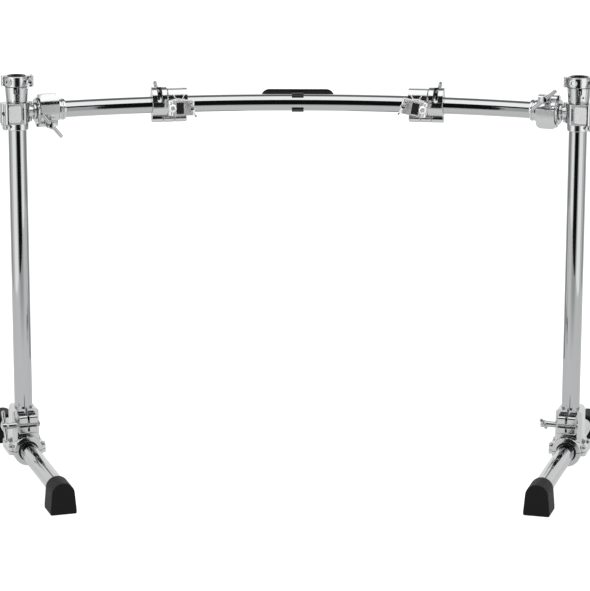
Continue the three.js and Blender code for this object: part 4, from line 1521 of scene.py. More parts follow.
@dataclass
class Badge:
    """Bare name plate behind the bar and its spring clip.

    Attributes:
        top: Height of the plate's upper edge over the bar's axis.
        mouth_turn: Turn of the clip's mouth from the front, in degrees.
    """

    width: float = 168.0
    top: float = 27.0
    height: float = 42.0
    thickness: float = 3.0
    corner: float = 19.0
    corner_steps: int = 14
    clip_width: float = 27.0
    clip_wall: float = 2.6
    mouth: float = 14.0
    mouth_turn: float = -97.0

    def build(self, shop: Workshop, bar: Bar) -> None:
        """Makes the plate with its clip.

        Args:
            shop: Workshop that shows the pieces.
            bar: Bar that it is clipped to.
        """
        back = BAR_RADIUS + FIT.gap + self.clip_wall
        front, rear = back - FIT.gap, back + self.thickness
        edge = FIT.fine_edge
        plate = prism(Axis.Y, self._outline(0), (front + edge, rear - edge))
        plate = plate.join(prism(Axis.Y, self._outline(edge), (front, rear)))
        reach = self.clip_width / 2
        clip = rod(Axis.X, back, both(reach), edge, Sides.SHELL).cut(bar_bore(both(reach)))
        mouth = box(both(reach * 2), both(self.mouth), (-back * 2, 0)).spun(self.mouth_turn, Axis.X)
        shop.publish("badge_plate", clip.cut(mouth).join(plate), bar.place(0))

    def _outline(self, inset: float) -> list[Point]:
        """Gives the outline of the plate, drawn in by an inset.

        Args:
            inset: How far the outline is drawn in.

        Returns:
            The outline's points.
        """
        foot = self.top - self.height
        return rounded(both(self.width / 2 - inset), (foot + inset, self.top - inset),
                       self.corner - inset, self.corner_steps)


@dataclass(frozen=True)
class Hood:
    """Hood over the hinge of a bar clamp's front half.

    Attributes:
        face: Distance of its flat face from the bar's axis.
        bulge_back: Distance of the bulge's centre behind the axis.
        bulge_rise: Distance of the centre from the axis, towards the hinge.
        front: Distance of the bulge's limit in front of the axis.
        foot: Where the bulge ends, on the bolt's side.
    """

    face: float = 17.0
    reach: float = 38.5
    corner: float = 9.0
    edge_corner: float = 10.0
    bulge: float = 53.0
    bulge_back: float = 25.0
    bulge_rise: float = 2.3
    front: float = 29.0
    foot: float = 8.0
    bulge_corner: float = 6.0

    def build(self, ends: Span) -> Solid:
        """Makes the hood between the ends given.

        Args:
            ends: Where the form starts and ends along X.

        Returns:
            The hood.
        """
        side = prism(Axis.X, rounded(both(self.face), (-self.reach, 0), self.corner), ends)
        limit = rounded((-self.front, self.face), (-self.reach, self.foot), self.bulge_corner)
        bulge = rod(Axis.X, self.bulge, ends, 0, Sides.TUBE).at(y=self.bulge_back, z=-self.bulge_rise)
        bulge = bulge.keep(prism(Axis.X, limit, ends))
        outline = rounded(ends, both(self.reach), self.edge_corner)
        return side.join(bulge).keep(prism(Axis.Y, outline, (-self.front - FIT.split, 0)))


FACE_FRONT = -33.0
PANEL_FLOOR = FACE_FRONT + 0.6


@dataclass(frozen=True)
class Face:
    """Broad front of a post clamp with its bare plate and its slit.

    Attributes:
        back: Where the front ends in the clamp.
        span: Its sides, seen from the bolt.
    """

    back: float = -5.0
    span: Span = (-14.0, 36.0)
    corner: float = 7.0
    panel: Block = Block(Axis.Y, both(18.5), (0.5, 29), (FACE_FRONT - FIT.overrun, PANEL_FLOOR), corner=4)
    plate: Block = Block(
        Axis.Y, both(panel.u[1] - FIT.gap), (panel.v[0] + FIT.gap, panel.v[1] - FIT.gap),
        (FACE_FRONT + 0.1, PANEL_FLOOR), corner=3.8)
    slit: Block = Block(Axis.Y, both(14), (-6.6, -2.4), (FACE_FRONT - FIT.overrun, FACE_FRONT + 9), corner=2)

    def block(self, ends: Span) -> Solid:
        """Makes the broad front."""
        return prism(Axis.X, rounded((FACE_FRONT, self.back), self.span, self.corner), ends)


@dataclass(frozen=True)
class PostRing:
    """Memory ring under a post clamp and its key screw.

    Attributes:
        screw_place: Distance of the screw from the post's axis.
        under: Distance of the ring from the post clamp.
        turn: Turn of the screw's side from the bar's middle, in degrees.
    """

    height: float = 15.5
    shell: float = 25.2
    ears: Block = Block(Axis.Z, (-33, 0), both(9.5), both(height / 2 - 0.8), corner=2.5)
    slit: float = 1.2
    screw_place: float = 28.0
    hole: Round = Round(Axis.Y, 2.9, both(shell), sides=Sides.SCREW)
    shank: Round = Round(Axis.Y, 2.6, (-11.8, 8), sides=Sides.SCREW)
    head: Round = Round(Axis.Y, 5, (-13.8, -9.8), FIT.fine_edge, Sides.HEAD)
    key: Block = Block(Axis.Y, both(2.5), both(2.5), (-17.8, head.span[1]), corner=0.5, steps=3)
    under: float = 0.6
    turn: float = -28.0

    def ring(self) -> Solid:
        """Makes the split ring with its ears.

        Returns:
            The ring.
        """
        half = self.height / 2
        through = both(half + FIT.overrun)
        ring = rod(Axis.Z, self.shell, both(half), FIT.edge, Sides.SHELL)
        slit = box((self.ears.u[0] - FIT.overrun, 0), both(self.slit), through)
        bore = rod(Axis.Z, POST_RADIUS + FIT.gap, through, 0, Sides.SHELL)
        return ring.join(self.ears.solid()).cut(slit, bore, self.hole.solid(-self.screw_place))

    def screw(self) -> Solid:
        """Makes the screw with its square for a key."""
        return self.shank.solid().join(self.head.solid(), self.key.solid()).at(-self.screw_place)


@dataclass
class Corner:
    """Clamps that join one end of the bar to its post.

    Attributes:
        flange: Thickness of the flange on the bar clamp's outer end.
        bell: Outline of the bell round the flange.
        bell_end: Radius and place of the bell's foot.
        disc_place: Distance of the toothed disc from the clamp's middle.
        neck_root: Where the post clamp's neck starts.
        bar_tilts: Turns of the left and right handle on the bar clamps, in degrees.
        post_tilts: The same on the post clamps.
    """

    bar: Bar
    bar_clamp: ClampSizes = ClampSizes(
        length=44, shell=27, hinge=30, knuckle=6.5, pin=2.6, bolt=30, reach=37, middle_span=15,
        ear=13, corner=9, boss=9.5, boss_rise=4)
    post_clamp: ClampSizes = ClampSizes(
        length=46, shell=28, hinge=29, knuckle=5.5, pin=2.3, bolt=32, reach=39, middle_span=29,
        ear=13, corner=7, boss=9.5, boss_rise=4, middle_owner=Owner.BODY)
    flange: float = 2.2
    flange_radius: float = 24.0
    bell: Ease = ((29.0, 1.0), (30.0, 2.0), (30.0, 3.2))
    bell_end: Point = (27.0, 27.8)
    disc_place: float = 28.0
    neck_root: float = 24.0
    bearing: float = 17.0
    tip: float = 12.0
    bar_tilts: tuple[float, float] = (50.0, -40.0)
    post_tilts: tuple[float, float] = (15.0, 165.0)

    def build(self, shop: Workshop) -> None:
        """Makes the clamps, handles and memory ring of both corners.

        Args:
            shop: Workshop that shows the pieces.
        """
        for index, (name, side) in enumerate(SIDES):
            self._bar_clamp(shop, name, side, self.bar_tilts[index])
            self._post_clamp(shop, name, side, self.post_tilts[index])
            self._post_ring(shop, name, side)

    def _bar_clamp(self, shop: Workshop, name: str, side: int, tilt: float) -> None:
        """Makes the clamp on the end of the bar.

        Args:
            shop: Workshop that shows the pieces.
            name: Side that the pieces are named for.
            side: 1 for the right side, -1 for the left.
            tilt: Turn of the handle, in degrees.
        """
        sizes = self.bar_clamp
        half = sizes.length / 2
        ends, end = both(half), half + self.flange
        plate = rod(Axis.X, self.flange_radius, (half + FIT.gap, end), FIT.boss_edge, Sides.SHELL)
        bell = turned(Axis.X, [
            (0, half + self.bell[0][1]), *edged(0, half, self.bell), self.bell_end, (0, self.bell_end[1]),
        ])
        body = sizes.half(sizes.shell_form((-half, end)), Owner.BODY, 1, ends)
        body = body.cut(bar_bore(ends), sizes.bolt_hole(1, 0, LOOSE_HOLE))
        body = body.join(plate, bell, SWIVEL.disc(self.disc_place, 1))
        front = sizes.shell_form(ends).join(Hood().build(ends), sizes.boss_at(-1, 0))
        jaw = sizes.half(front, Owner.JAW, -1, ends).cut(bar_bore(ends), sizes.bolt_hole(-1, 0, FIT.gap))
        handle = CLEAR_TEE.build(self.bearing, tilt, self.tip).at(z=sizes.bolt)
        place = self.bar.place(side * self.bar.clamp_angle, side < 0)
        for part, solid in (("body", body), ("jaw", jaw), ("handle", handle)):
            shop.publish(f"{name}_bar_clamp_{part}", solid, place)

    def _post_clamp(self, shop: Workshop, name: str, side: int, tilt: float) -> None:
        """Makes the clamp on the post, with its toothed swivel.

        Args:
            shop: Workshop that shows the pieces.
            name: Side that the pieces are named for.
            side: 1 for the right side, -1 for the left.
            tilt: Turn of the handle, in degrees.
        """
        sizes, face = self.post_clamp, Face()
        ends = both(sizes.length / 2)
        shell = sizes.shell_form(ends)
        tube = rod(Axis.X, POST_RADIUS + FIT.gap, both(ends[1] + FIT.overrun), 0, Sides.SHELL)
        root = SWIVEL.plane - SWIVEL.plate + SWIVEL.tooth
        neck = rod(Axis.Z, SWIVEL.neck, (-root, -self.neck_root), 0, Sides.BOSS)
        body = sizes.half(shell.join(sizes.boss_at(1, 0)), Owner.BODY, 1, ends)
        body = body.join(neck, SWIVEL.disc(SWIVEL.plane, 1).spun(90, Axis.Y))
        body = body.cut(tube, sizes.bolt_hole(1, 0, FIT.gap))
        clear = rod(Axis.Z, SWIVEL.neck + FIT.split, (-root, 0), 0, Sides.BOSS)
        jaw = sizes.half(shell.join(face.block(ends)), Owner.JAW, -1, ends)
        hole = sizes.bolt_hole(-1, 0, LOOSE_HOLE)
        jaw = jaw.cut(clear, tube, hole, face.panel.solid(), face.slit.solid())
        handle = TEE.build(self.bearing, tilt, self.tip).spun(180, Axis.X).at(z=sizes.bolt)
        turn = Matrix.Rotation(math.pi, 4, "Y") if side < 0 else Matrix.Identity(4)
        place = spot(side * HALF_SPACING, 0, AXIS_HEIGHT, -side * self.bar.clamp_angle) @ turn
        for part, solid in (("body", body), ("jaw", jaw), ("handle", handle)):
            shop.publish(f"{name}_post_clamp_{part}", solid.spun(90, Axis.Y), place)
        plate = face.plate.solid().spun(90, Axis.Y)
        shop.add(f"{name}_post_clamp_face_plate", plate, place, f"{name}_post_clamp_jaw", Finish.PLATE)

    def _post_ring(self, shop: Workshop, name: str, side: int) -> None:
        """Makes the memory ring under the post clamp, and its key screw.

        Args:
            shop: Workshop that shows the pieces.
            name: Side that the pieces are named for.
            side: 1 for the right side, -1 for the left.
        """
        ring = PostRing()
        flip = Matrix.Rotation(0 if side < 0 else math.pi, 4, "Y")
        drop = self.post_clamp.length / 2 + ring.under + ring.height / 2
        turn = side * math.radians(ring.turn)
        place = spot(side * HALF_SPACING, 0, AXIS_HEIGHT - drop, turn) @ flip
        shop.publish(f"{name}_post_memory_ring", ring.ring(), place)
        shop.publish(f"{name}_post_memory_screw", ring.screw(), place)


@dataclass(frozen=True)
class Barrel:
    """Front forms of a middle clamp, in millimetres; heights count from the bar's axis.

    Attributes:
        foot: Height where its bulged front ends.
        back: Where that front ends behind the axis.
        bulge_place: Centre of the bulge, back from the axis and up.
        arch: Half axes of the oval front beside the barrel.
        arch_step: Degrees from one point of the oval to the next.
        line: Outer edge of one half of the raised line, from its top to its lowest point.
        line_reach: Half of the width in which the line is cut out.
        line_depth: Places in front of the axis between which it is cut out.
    """

    front: float = 28.0
    top: float = 37.5
    foot: float = -20.0
    back: float = 20.0
    corner: float = 20.0
    corner_steps: int = 12
    bulge: float = 40.0
    bulge_place: Point = (12.0, 7.5)
    arch: Point = (26.0, 28.0)
    arch_rise: float = 12.0
    arch_step: int = 5
    line: Ease = ((-13.4, 34.0), (-12.8, 24.0), (-8.0, 14.4), (-3.6, 9.4), (0.0, 8.2))
    line_inner: Ease = ((-11.4, 37.0), (-10.8, 24.6), (-6.2, 16.2), (-2.5, 12.2), (0.0, 11.3))
    line_rise: float = 0.8
    line_root: float = 0.5
    line_reach: float = 15.0
    line_depth: Span = (-30.0, -4.0)
    line_shift: float = -3.0

    def bulged(self, span: Span, grown: float = 0) -> Solid:
        """Makes the slightly bulged front with its rounded upper edge, grown if asked.

        Args:
            span: Where the form starts and ends along X.
            grown: How much it is grown.

        Returns:
            The front.
        """
        form = rod(Axis.X, self.bulge + grown, span, 0, Sides.FACE)
        form = form.at(y=self.bulge_place[0], z=self.bulge_place[1])
        outline = rounded((-self.front - grown, self.back), (self.foot, self.top + grown),
                          self.corner, self.corner_steps)
        return form.keep(prism(Axis.X, outline, span))

    def arched(self, span: Span) -> Solid:
        """Makes the oval front beside the barrel.

        Args:
            span: Where the form starts and ends along X.

        Returns:
            The oval front.
        """
        depth, height = self.arch
        turns = [math.radians(degrees) for degrees in range(0, 360, self.arch_step)]
        outline = [(depth * math.cos(turn), self.arch_rise + height * math.sin(turn)) for turn in turns]
        return prism(Axis.X, outline, span)

    def raised_line(self) -> Solid:
        """Makes the thin raised line, bent like a shield's lower edge.

        Returns:
            The line.
        """
        reach = self.line_reach
        skin = self.bulged(both(reach), self.line_rise)
        skin = skin.cut(self.bulged(both(reach + FIT.split), -self.line_root))
        near, far = self.line_depth
        band = prism(Axis.Y, self._mirrored(self.line), (near, far))
        inner = prism(Axis.Y, self._mirrored(self.line_inner), (near - FIT.split, far + FIT.split))
        return skin.keep(band.cut(inner)).at(self.line_shift)

    def _mirrored(self, half: Ease) -> list[Point]:
        """Completes a line whose left half is given."""
        return [*half, *[(-x, z) for x, z in reversed(half[:-1])]]


@dataclass(frozen=True)
class Accessory:
    """Accessory clamp: a V block, its gate with the pad, and the wing bolt.

    Attributes:
        window: Half of the width of the pad's window, its depth and half of its height.
        pad: Half of the length of the pad.
        bolt: Distance of the face that the wing bolt bears on, turn of its wings, and place of its tip.
    """

    sizes: ClampSizes = ClampSizes(
        length=34, shell=20, hinge=19.5, knuckle=6.5, pin=2.4, bolt=27, reach=33, middle_span=16,
        ear=8, corner=4, boss=6.5, boss_rise=1)
    block: Block = Block(Axis.X, (0, 20), both(14), both(sizes.length / 2), corner=1.5, steps=4)
    groove: Ease = ((-1, -11), (10, 0), (-1, 11))
    seat: Round = Round(Axis.Y, 17, (19.7, 23), 0.5, Sides.SHELL)
    cap: Ease = ((4.8, -11.0), (6.5, -10.6), (8.2, -9.4), (9.0, -8.0), (9.0, -4.0))
    socket: Round = Round(Axis.Y, 4.5, (-20, -8.5), sides=Sides.HEXAGON)
    window: Spot = (12.8, 20.0, 8.3)
    pad: float = 12.5
    pad_face: Ease = (
        (-8.7, -7.5), (-8.2, -8.0), (1.4, -8.0), (-2.1, 0.0), (1.4, 8.0), (-8.2, 8.0), (-8.7, 7.5))
    bolt: Spot = (9.0, 20.0, 8.0)

    def build(self, shop: Workshop, name: str, place: Matrix) -> None:
        """Makes the accessory clamp at a place.

        Args:
            shop: Workshop that shows the pieces.
            name: Side that the pieces are named for.
            place: Where the pieces stand in the assembly.
        """
        sizes = self.sizes
        ends = both(sizes.length / 2)
        outline = rounded(both(sizes.ear), (-sizes.hinge, sizes.reach), sizes.corner)
        ears = prism(Axis.X, outline, ends)
        wings = WINGS.build(*self.bolt).at(z=sizes.bolt)
        pad = prism(Axis.X, list(self.pad_face), both(self.pad))
        block, gate = self._block(ears, ends), self._gate(ears, ends)
        for part, solid in (("block", block), ("gate", gate), ("pad", pad), ("wing_bolt", wings)):
            shop.publish(f"{name}_accessory_{part}", solid, place)

    def _block(self, ears: Solid, ends: Span) -> Solid:
        """Makes the V block with its round seat.

        Args:
            ears: Form of both ears.
            ends: Where the form starts and ends along X.

        Returns:
            The block.
        """
        sizes = self.sizes
        channel = prism(Axis.X, list(self.groove), both(ends[1] + FIT.overrun))
        base = sizes.half(self.block.solid().join(ears), Owner.BODY, 1, ends)
        return base.cut(channel, sizes.bolt_hole(1, 0, LOOSE_HOLE)).join(self.seat.solid())

    def _gate(self, ears: Solid, ends: Span) -> Solid:
        """Makes the gate with its round cap and the window of the pad.

        Args:
            ears: Form of both ears.
            ends: Where the form starts and ends along X.

        Returns:
            The gate.
        """
        sizes = self.sizes
        cap_rise = sizes.knuckle / 2 - sizes.hinge
        cap = turned(Axis.Y, [(0, self.cap[0][1]), *self.cap, (0, self.cap[-1][1])], Sides.BOSS)
        width, depth, height = self.window
        window = box(both(width), (-depth, 0), both(height))
        front = ears.join(sizes.boss_at(-1, 0), cap.at(z=cap_rise))
        gate = sizes.half(front, Owner.JAW, -1, ends)
        return gate.cut(window, sizes.bolt_hole(-1, 0, FIT.gap), self.socket.solid(z=cap_rise))


@dataclass
class MiddleClamp:
    """Clamp in the middle of the bar, with its accessory clamp in front.

    Attributes:
        barrel: Length of the round part.
        arch: Length of the part with the ears.
        arch_back: How far that part reaches back from the axis.
        arch_span: Heights of its foot and its top.
        slot: Round foot of the slot that the bolt swings through.
        slot_span: Heights of the slot's middle at its foot and of its open end.
        groove_reach: How far its cut reaches from the axis.
        groove_foot: Height of the groove's lower end at the ears.
        handle: Distance of the face that the handle bears on, its turn, and place of its tip.
        accessory_place: Distance of the accessory clamp in front of the axis.
        accessory_leans: Leans of the left and right accessory clamp, in degrees.
    """

    bar: Bar
    sizes: ClampSizes = ClampSizes(
        length=80, shell=27, hinge=31, knuckle=9.3, pin=2.6, bolt=28, reach=37, middle_span=26,
        ear=13, corner=9, boss=9.5, boss_rise=4)
    barrel: float = 46.0
    arch: float = 34.0
    arch_back: float = 25.0
    arch_span: Span = (-6.0, 40.0)
    arch_corner: float = 12.0
    seat: Round = Round(Axis.Y, 17, (-31, 0), FIT.boss_edge, Sides.SHELL)
    slot: Round = Round(Axis.Y, 5.5, seat.span, sides=Sides.HEAD)
    slot_span: Span = (14.0, 46.0)
    groove: float = 2.0
    groove_depth: float = 3.0
    groove_reach: float = 46.0
    groove_foot: float = -9.0
    steps: int = 8
    handle: Spot = (17.0, 78.0, 20.0)
    accessory_place: float = 54.3
    accessory_leans: tuple[float, float] = (0.0, 10.0)

    def build(self, shop: Workshop) -> None:
        """Makes both middle clamps and their accessory clamps.

        Args:
            shop: Workshop that shows the pieces.
        """
        seat = Matrix.Translation((0, -self.accessory_place, 0)) @ Matrix.Rotation(-QUARTER, 4, "Y")
        for (name, side), degrees in zip(SIDES, self.accessory_leans):
            mirror = Matrix.Scale(side, 4, (1, 0, 0))
            base = self.bar.place(side * self.bar.middle_angle)
            self._clamp(shop, name, base @ mirror)
            lean = Matrix.Rotation(math.radians(degrees), 4, "Y")
            Accessory().build(shop, name, base @ lean @ mirror @ seat)

    def _clamp(self, shop: Workshop, name: str, place: Matrix) -> None:
        """Makes the clamp round the bar.

        Args:
            shop: Workshop that shows the pieces.
            name: Side that the pieces are named for.
            place: Where the pieces stand in the assembly.
        """
        sizes, end, front = self.sizes, self.barrel / 2, Barrel()
        ends = (-end, end + self.arch)
        bolt_place = end + self.arch / 2
        shell = sizes.shell_form(ends)
        crown = front.bulged(both(end)).join(front.arched((end, ends[1])))
        bore, groove = bar_bore(ends, self.steps), self._groove(end)
        body = sizes.half(shell.join(crown, self.seat.solid()), Owner.BODY, -1, ends)
        body = body.cut(bore, self._slot(bolt_place), groove)
        outline = rounded((-self.arch_back, sizes.ear), self.arch_span, self.arch_corner, front.corner_steps)
        back = shell.join(prism(Axis.X, outline, (end, ends[1])), sizes.boss_at(1, bolt_place))
        jaw = sizes.half(back, Owner.JAW, 1, ends)
        jaw = jaw.cut(bore, sizes.bolt_hole(1, bolt_place, FIT.gap), groove)
        handle = SHORT_TEE.build(*self.handle).spun(180, Axis.Z).at(bolt_place, 0, sizes.bolt)
        carrier = f"{name}_middle_clamp_body"
        shop.publish(carrier, body, place)
        shop.add(f"{name}_middle_clamp_line", front.raised_line(), place, carrier, Finish.PLATE)
        shop.publish(f"{name}_middle_clamp_jaw", jaw, place)
        shop.publish(f"{name}_middle_clamp_handle", handle, place)

    def _slot(self, bolt_place: float) -> Solid:
        """Gives the slot that the bolt swings through, open at the top.

        Args:
            bolt_place: Place of the bolt along the bar.

        Returns:
            The slot.
        """
        sides = (bolt_place - self.slot.radius, bolt_place + self.slot.radius)
        form = box(sides, self.slot.span, self.slot_span)
        return form.join(self.slot.solid(bolt_place, 0, self.slot_span[0]))

    def _groove(self, place: float) -> Solid:
        """Gives the groove that sets the arched part apart from the barrel.

        Args:
            place: Where the groove ends along the bar.

        Returns:
            The groove.
        """
        sizes, span, depth = self.sizes, (place - self.groove, place), self.groove_depth
        outer = box(span, both(self.groove_reach), both(self.groove_reach))
        core = rod(Axis.X, sizes.shell - depth, span, 0, Sides.SHELL)
        outline = rounded(both(sizes.ear - depth), (self.groove_foot, sizes.reach - depth), sizes.corner)
        hinge = rod(Axis.X, sizes.knuckle, span, 0, Sides.HEAD).at(z=-sizes.hinge)
        return outer.cut(core, prism(Axis.X, outline, span), hinge)


@dataclass(frozen=True)
class Bushing:
    """Nylon bushing of a receiver, split at the front.

    Attributes:
        shank: Radius of the part in the post.
        head: Radius of the part over the post.
        mouth: Radius of the bore's mouth.
    """

    foot: float = 820.0
    shank: float = 18.2
    head: float = 20.3
    ease: float = 0.6
    bore: float = 13.1
    mouth: float = 14.1
    slit: float = 1.0
    slit_depth: float = 30.0
    rise: float = 1.0

    def build(self, post_head: float, collar_top: float) -> Solid:
        """Makes the bushing between the post's end and the top of the collar.

        Args:
            post_head: Height of the post's end.
            collar_top: Height of the collar's top.

        Returns:
            The bushing.
        """
        low, step, top = self.foot, post_head + FIT.gap, collar_top + self.rise
        outer = turned(Axis.Z, [
            (0, low), (self.shank - self.ease, low), (self.shank, low + self.ease), (self.shank, step),
            (self.head, step), (self.head, top - self.ease), (self.head - self.ease, top), (0, top),
        ], Sides.SEAT)
        under, over = low - FIT.overrun, top + FIT.overrun
        lead = self.mouth - self.bore
        bore = turned(Axis.Z, [
            (0, under), (self.bore, under), (self.bore, top - lead), (self.mouth, top), (self.mouth, over),
            (0, over),
        ], Sides.SEAT)
        return outer.cut(bore, box(both(self.slit), (-self.slit_depth, 0), (under, over)))


COLLAR = ClampSizes(
    length=23.4, shell=26.6, hinge=29, knuckle=6, pin=2.4, bolt=31, reach=38, middle_span=9,
    ear=10, corner=4, boss=7, boss_rise=1.5)
SHOULDER = 881.0


@dataclass
class Post:
    """Post tube with the tube receiver on its top.

    Attributes:
        cone: Radius and height of the sleeve's lower end.
        cone_top: Radius just under the shoulder, and its height from there.
        neck: Distance of the half neck's end from the top.
        pinhole_place: Place of the small hole, across and down from the shoulder.
        trim: Radius that trims the boss.
        bolt: Distance of the face that the wing bolt bears on, turn of its wings, and place of its tip.
    """

    tube: Round = Round(Axis.Z, POST_RADIUS, (78, 876), 0.4, Sides.TUBE)
    cone: Point = (23.6, 847.0)
    cone_ease: float = 0.8
    cone_top: Point = (26.5, -1.0)
    top: float = 905.0
    neck: float = 23.1
    slot: Block = Block(Axis.Y, both(4), (SHOULDER - 15, SHOULDER + 12), (-34, -12), corner=3.9)
    pinhole: Round = Round(Axis.Y, 2.4, (-34, 0), sides=Sides.SCREW)
    pinhole_place: Point = (7.0, -20.0)
    boss: Round = Round(Axis.Y, 9, (-COLLAR.shell - 3, -13), FIT.boss_edge, Sides.BOSS)
    boss_turn: float = 35.0
    well: Round = Round(Axis.Y, 6, (boss.span[0] - FIT.overrun, boss.span[0] + 2.5), sides=Sides.HEXAGON)
    trim: float = 80.0
    bolt: Spot = (11.5, 15.0, 9.0)

    def build(self, shop: Workshop) -> None:
        """Makes both posts with their receivers.

        Args:
            shop: Workshop that shows the pieces.
        """
        ends = both(COLLAR.length / 2)
        lift = Matrix.Translation((0, 0, self.top - ends[1])) @ Matrix.Rotation(QUARTER, 4, "Y")
        parts = {
            "post_tube": self._tube(),
            "receiver_sleeve": self._sleeve(lift, ends),
            "receiver_jaw": self._jaw(ends).moved(lift),
            "receiver_bushing": Bushing().build(self.tube.span[1], self.top),
            "receiver_wing_bolt": WINGS.build(*self.bolt).at(z=COLLAR.bolt).moved(lift),
        }
        for name, side in SIDES:
            for part, solid in parts.items():
                shop.publish(f"{name}_{part}", solid, spot(side * HALF_SPACING, 0, 0))

    def _tube(self) -> Solid:
        """Makes the tube of a post.

        Returns:
            The tube.
        """
        low, high = self.tube.span
        bore = rod(Axis.Z, POST_RADIUS - WALL, (low - FIT.overrun, high + FIT.overrun), 0, Sides.SEAT)
        return self.tube.solid().cut(bore)

    def _sleeve(self, lift: Matrix, ends: Span) -> Solid:
        """Makes the tapered sleeve with the back half of the collar.

        Args:
            lift: Place of the collar on the post.
            ends: Span of the collar.

        Returns:
            The sleeve.
        """
        (radius, foot), ease = self.cone, self.cone_ease
        back = COLLAR.half(COLLAR.shell_form(ends), Owner.BODY, 1, ends)
        back = back.cut(COLLAR.bolt_hole(1, 0, LOOSE_HOLE)).moved(lift)
        cone = turned(Axis.Z, [
            (0, foot), (radius - ease, foot), (radius, foot + ease),
            (self.cone_top[0], SHOULDER + self.cone_top[1]), (COLLAR.shell, SHOULDER), (0, SHOULDER),
        ], Sides.SEAT)
        neck = rod(Axis.Z, COLLAR.shell, (SHOULDER - FIT.gap, self.top - self.neck), 0, Sides.SEAT)
        neck = neck.keep(box(both(CLEAR), (FIT.split / 2, CLEAR), (foot, self.top)))
        depth = (foot - FIT.overrun, self.top + FIT.overrun)
        bore = rod(Axis.Z, POST_RADIUS + FIT.gap, depth, 0, Sides.SEAT)
        hole = self.pinhole.solid(self.pinhole_place[0], 0, SHOULDER + self.pinhole_place[1])
        return cone.join(back, neck).cut(bore, self.slot.solid(), hole)

    def _jaw(self, ends: Span) -> Solid:
        """Makes the front half of the collar with its round boss.

        Args:
            ends: Span of the collar.

        Returns:
            The jaw, lying along X.
        """
        boss, well = [form.solid().spun(self.boss_turn, Axis.X) for form in (self.boss, self.well)]
        form = COLLAR.shell_form(ends).join(COLLAR.boss_at(-1, 0), boss)
        form = form.keep(rod(Axis.X, self.trim, ends, 0, Sides.SHELL))
        tube = rod(Axis.X, POST_RADIUS + FIT.gap, both(ends[1] + FIT.overrun), 0, Sides.SEAT)
        jaw = COLLAR.half(form, Owner.JAW, -1, ends)
        return jaw.cut(tube, COLLAR.bolt_hole(-1, 0, FIT.gap), well)


LEG_HEIGHT = 45.4
FLANGE_RISE = 9.0
SCREW_SEAT = LEG_HEIGHT + FLANGE_RISE + FIT.gap


@dataclass(frozen=True)
class Foot:
    """Rubber foot of a leg, its nose at 0 and its mouth towards +Y.

    Attributes:
        rim: Radius of all its rounded rims.
        half: Half of the width of the sole's core.
        sole: Height of the sole's core.
        wall: Height where the sides start to lean.
        crown: Radius of the arched top's core.
    """

    rim: float = 3.0
    nose: float = 3.1
    mouth: float = 61.0
    half: float = 26.25
    sole: float = 3.0
    wall: float = 9.0
    crown: float = 22.9
    crown_height: float = 45.2
    lean: float = 5.37
    rim_steps: int = 6
    corner_steps: int = 4
    crown_steps: int = 32
    seat: Span = (6.0, 70.0)

    def build(self) -> Solid:
        """Makes the foot.

        Returns:
            The foot.
        """
        front, back = [], []
        for i in range(self.rim_steps + 1):
            turn = QUARTER * i / self.rim_steps
            depth, outline = self.rim * math.sin(turn), self._outline(self.rim * math.cos(turn))
            front.append((self.nose - depth, outline))
            back.append((self.mouth + depth, outline))
        form = lofted(Axis.Y, [*reversed(front), *back])
        return form.cut(rod(Axis.Y, POST_RADIUS + FIT.gap, self.seat, 0, Sides.SEAT).at(z=LEG_HEIGHT))

    def _outline(self, grown: float) -> list[Point]:
        """Gives the outline of a section: a flat sole, leaning sides and an arched top.

        Args:
            grown: How far it lies outside the foot's core.

        Returns:
            The outline's points.
        """
        lean = math.radians(self.lean)
        side = (self.half + grown * math.cos(lean), self.wall + grown * math.sin(lean))
        outline = self._corner(self.half, -QUARTER, grown)
        outline.append(side)
        for i in range(self.crown_steps + 1):
            turn = lean + (2 * QUARTER - 2 * lean) * i / self.crown_steps
            reach = self.crown + grown
            outline.append((reach * math.cos(turn), self.crown_height + reach * math.sin(turn)))
        outline.append((-side[0], side[1]))
        return outline + self._corner(-self.half, 2 * QUARTER, grown)

    def _corner(self, place: float, start: float, grown: float) -> list[Point]:
        """Gives the quarter turn of a lower corner."""
        turns = [start + QUARTER * i / self.corner_steps for i in range(self.corner_steps + 1)]
        return [(place + grown * math.cos(turn), self.sole + grown * math.sin(turn)) for turn in turns]


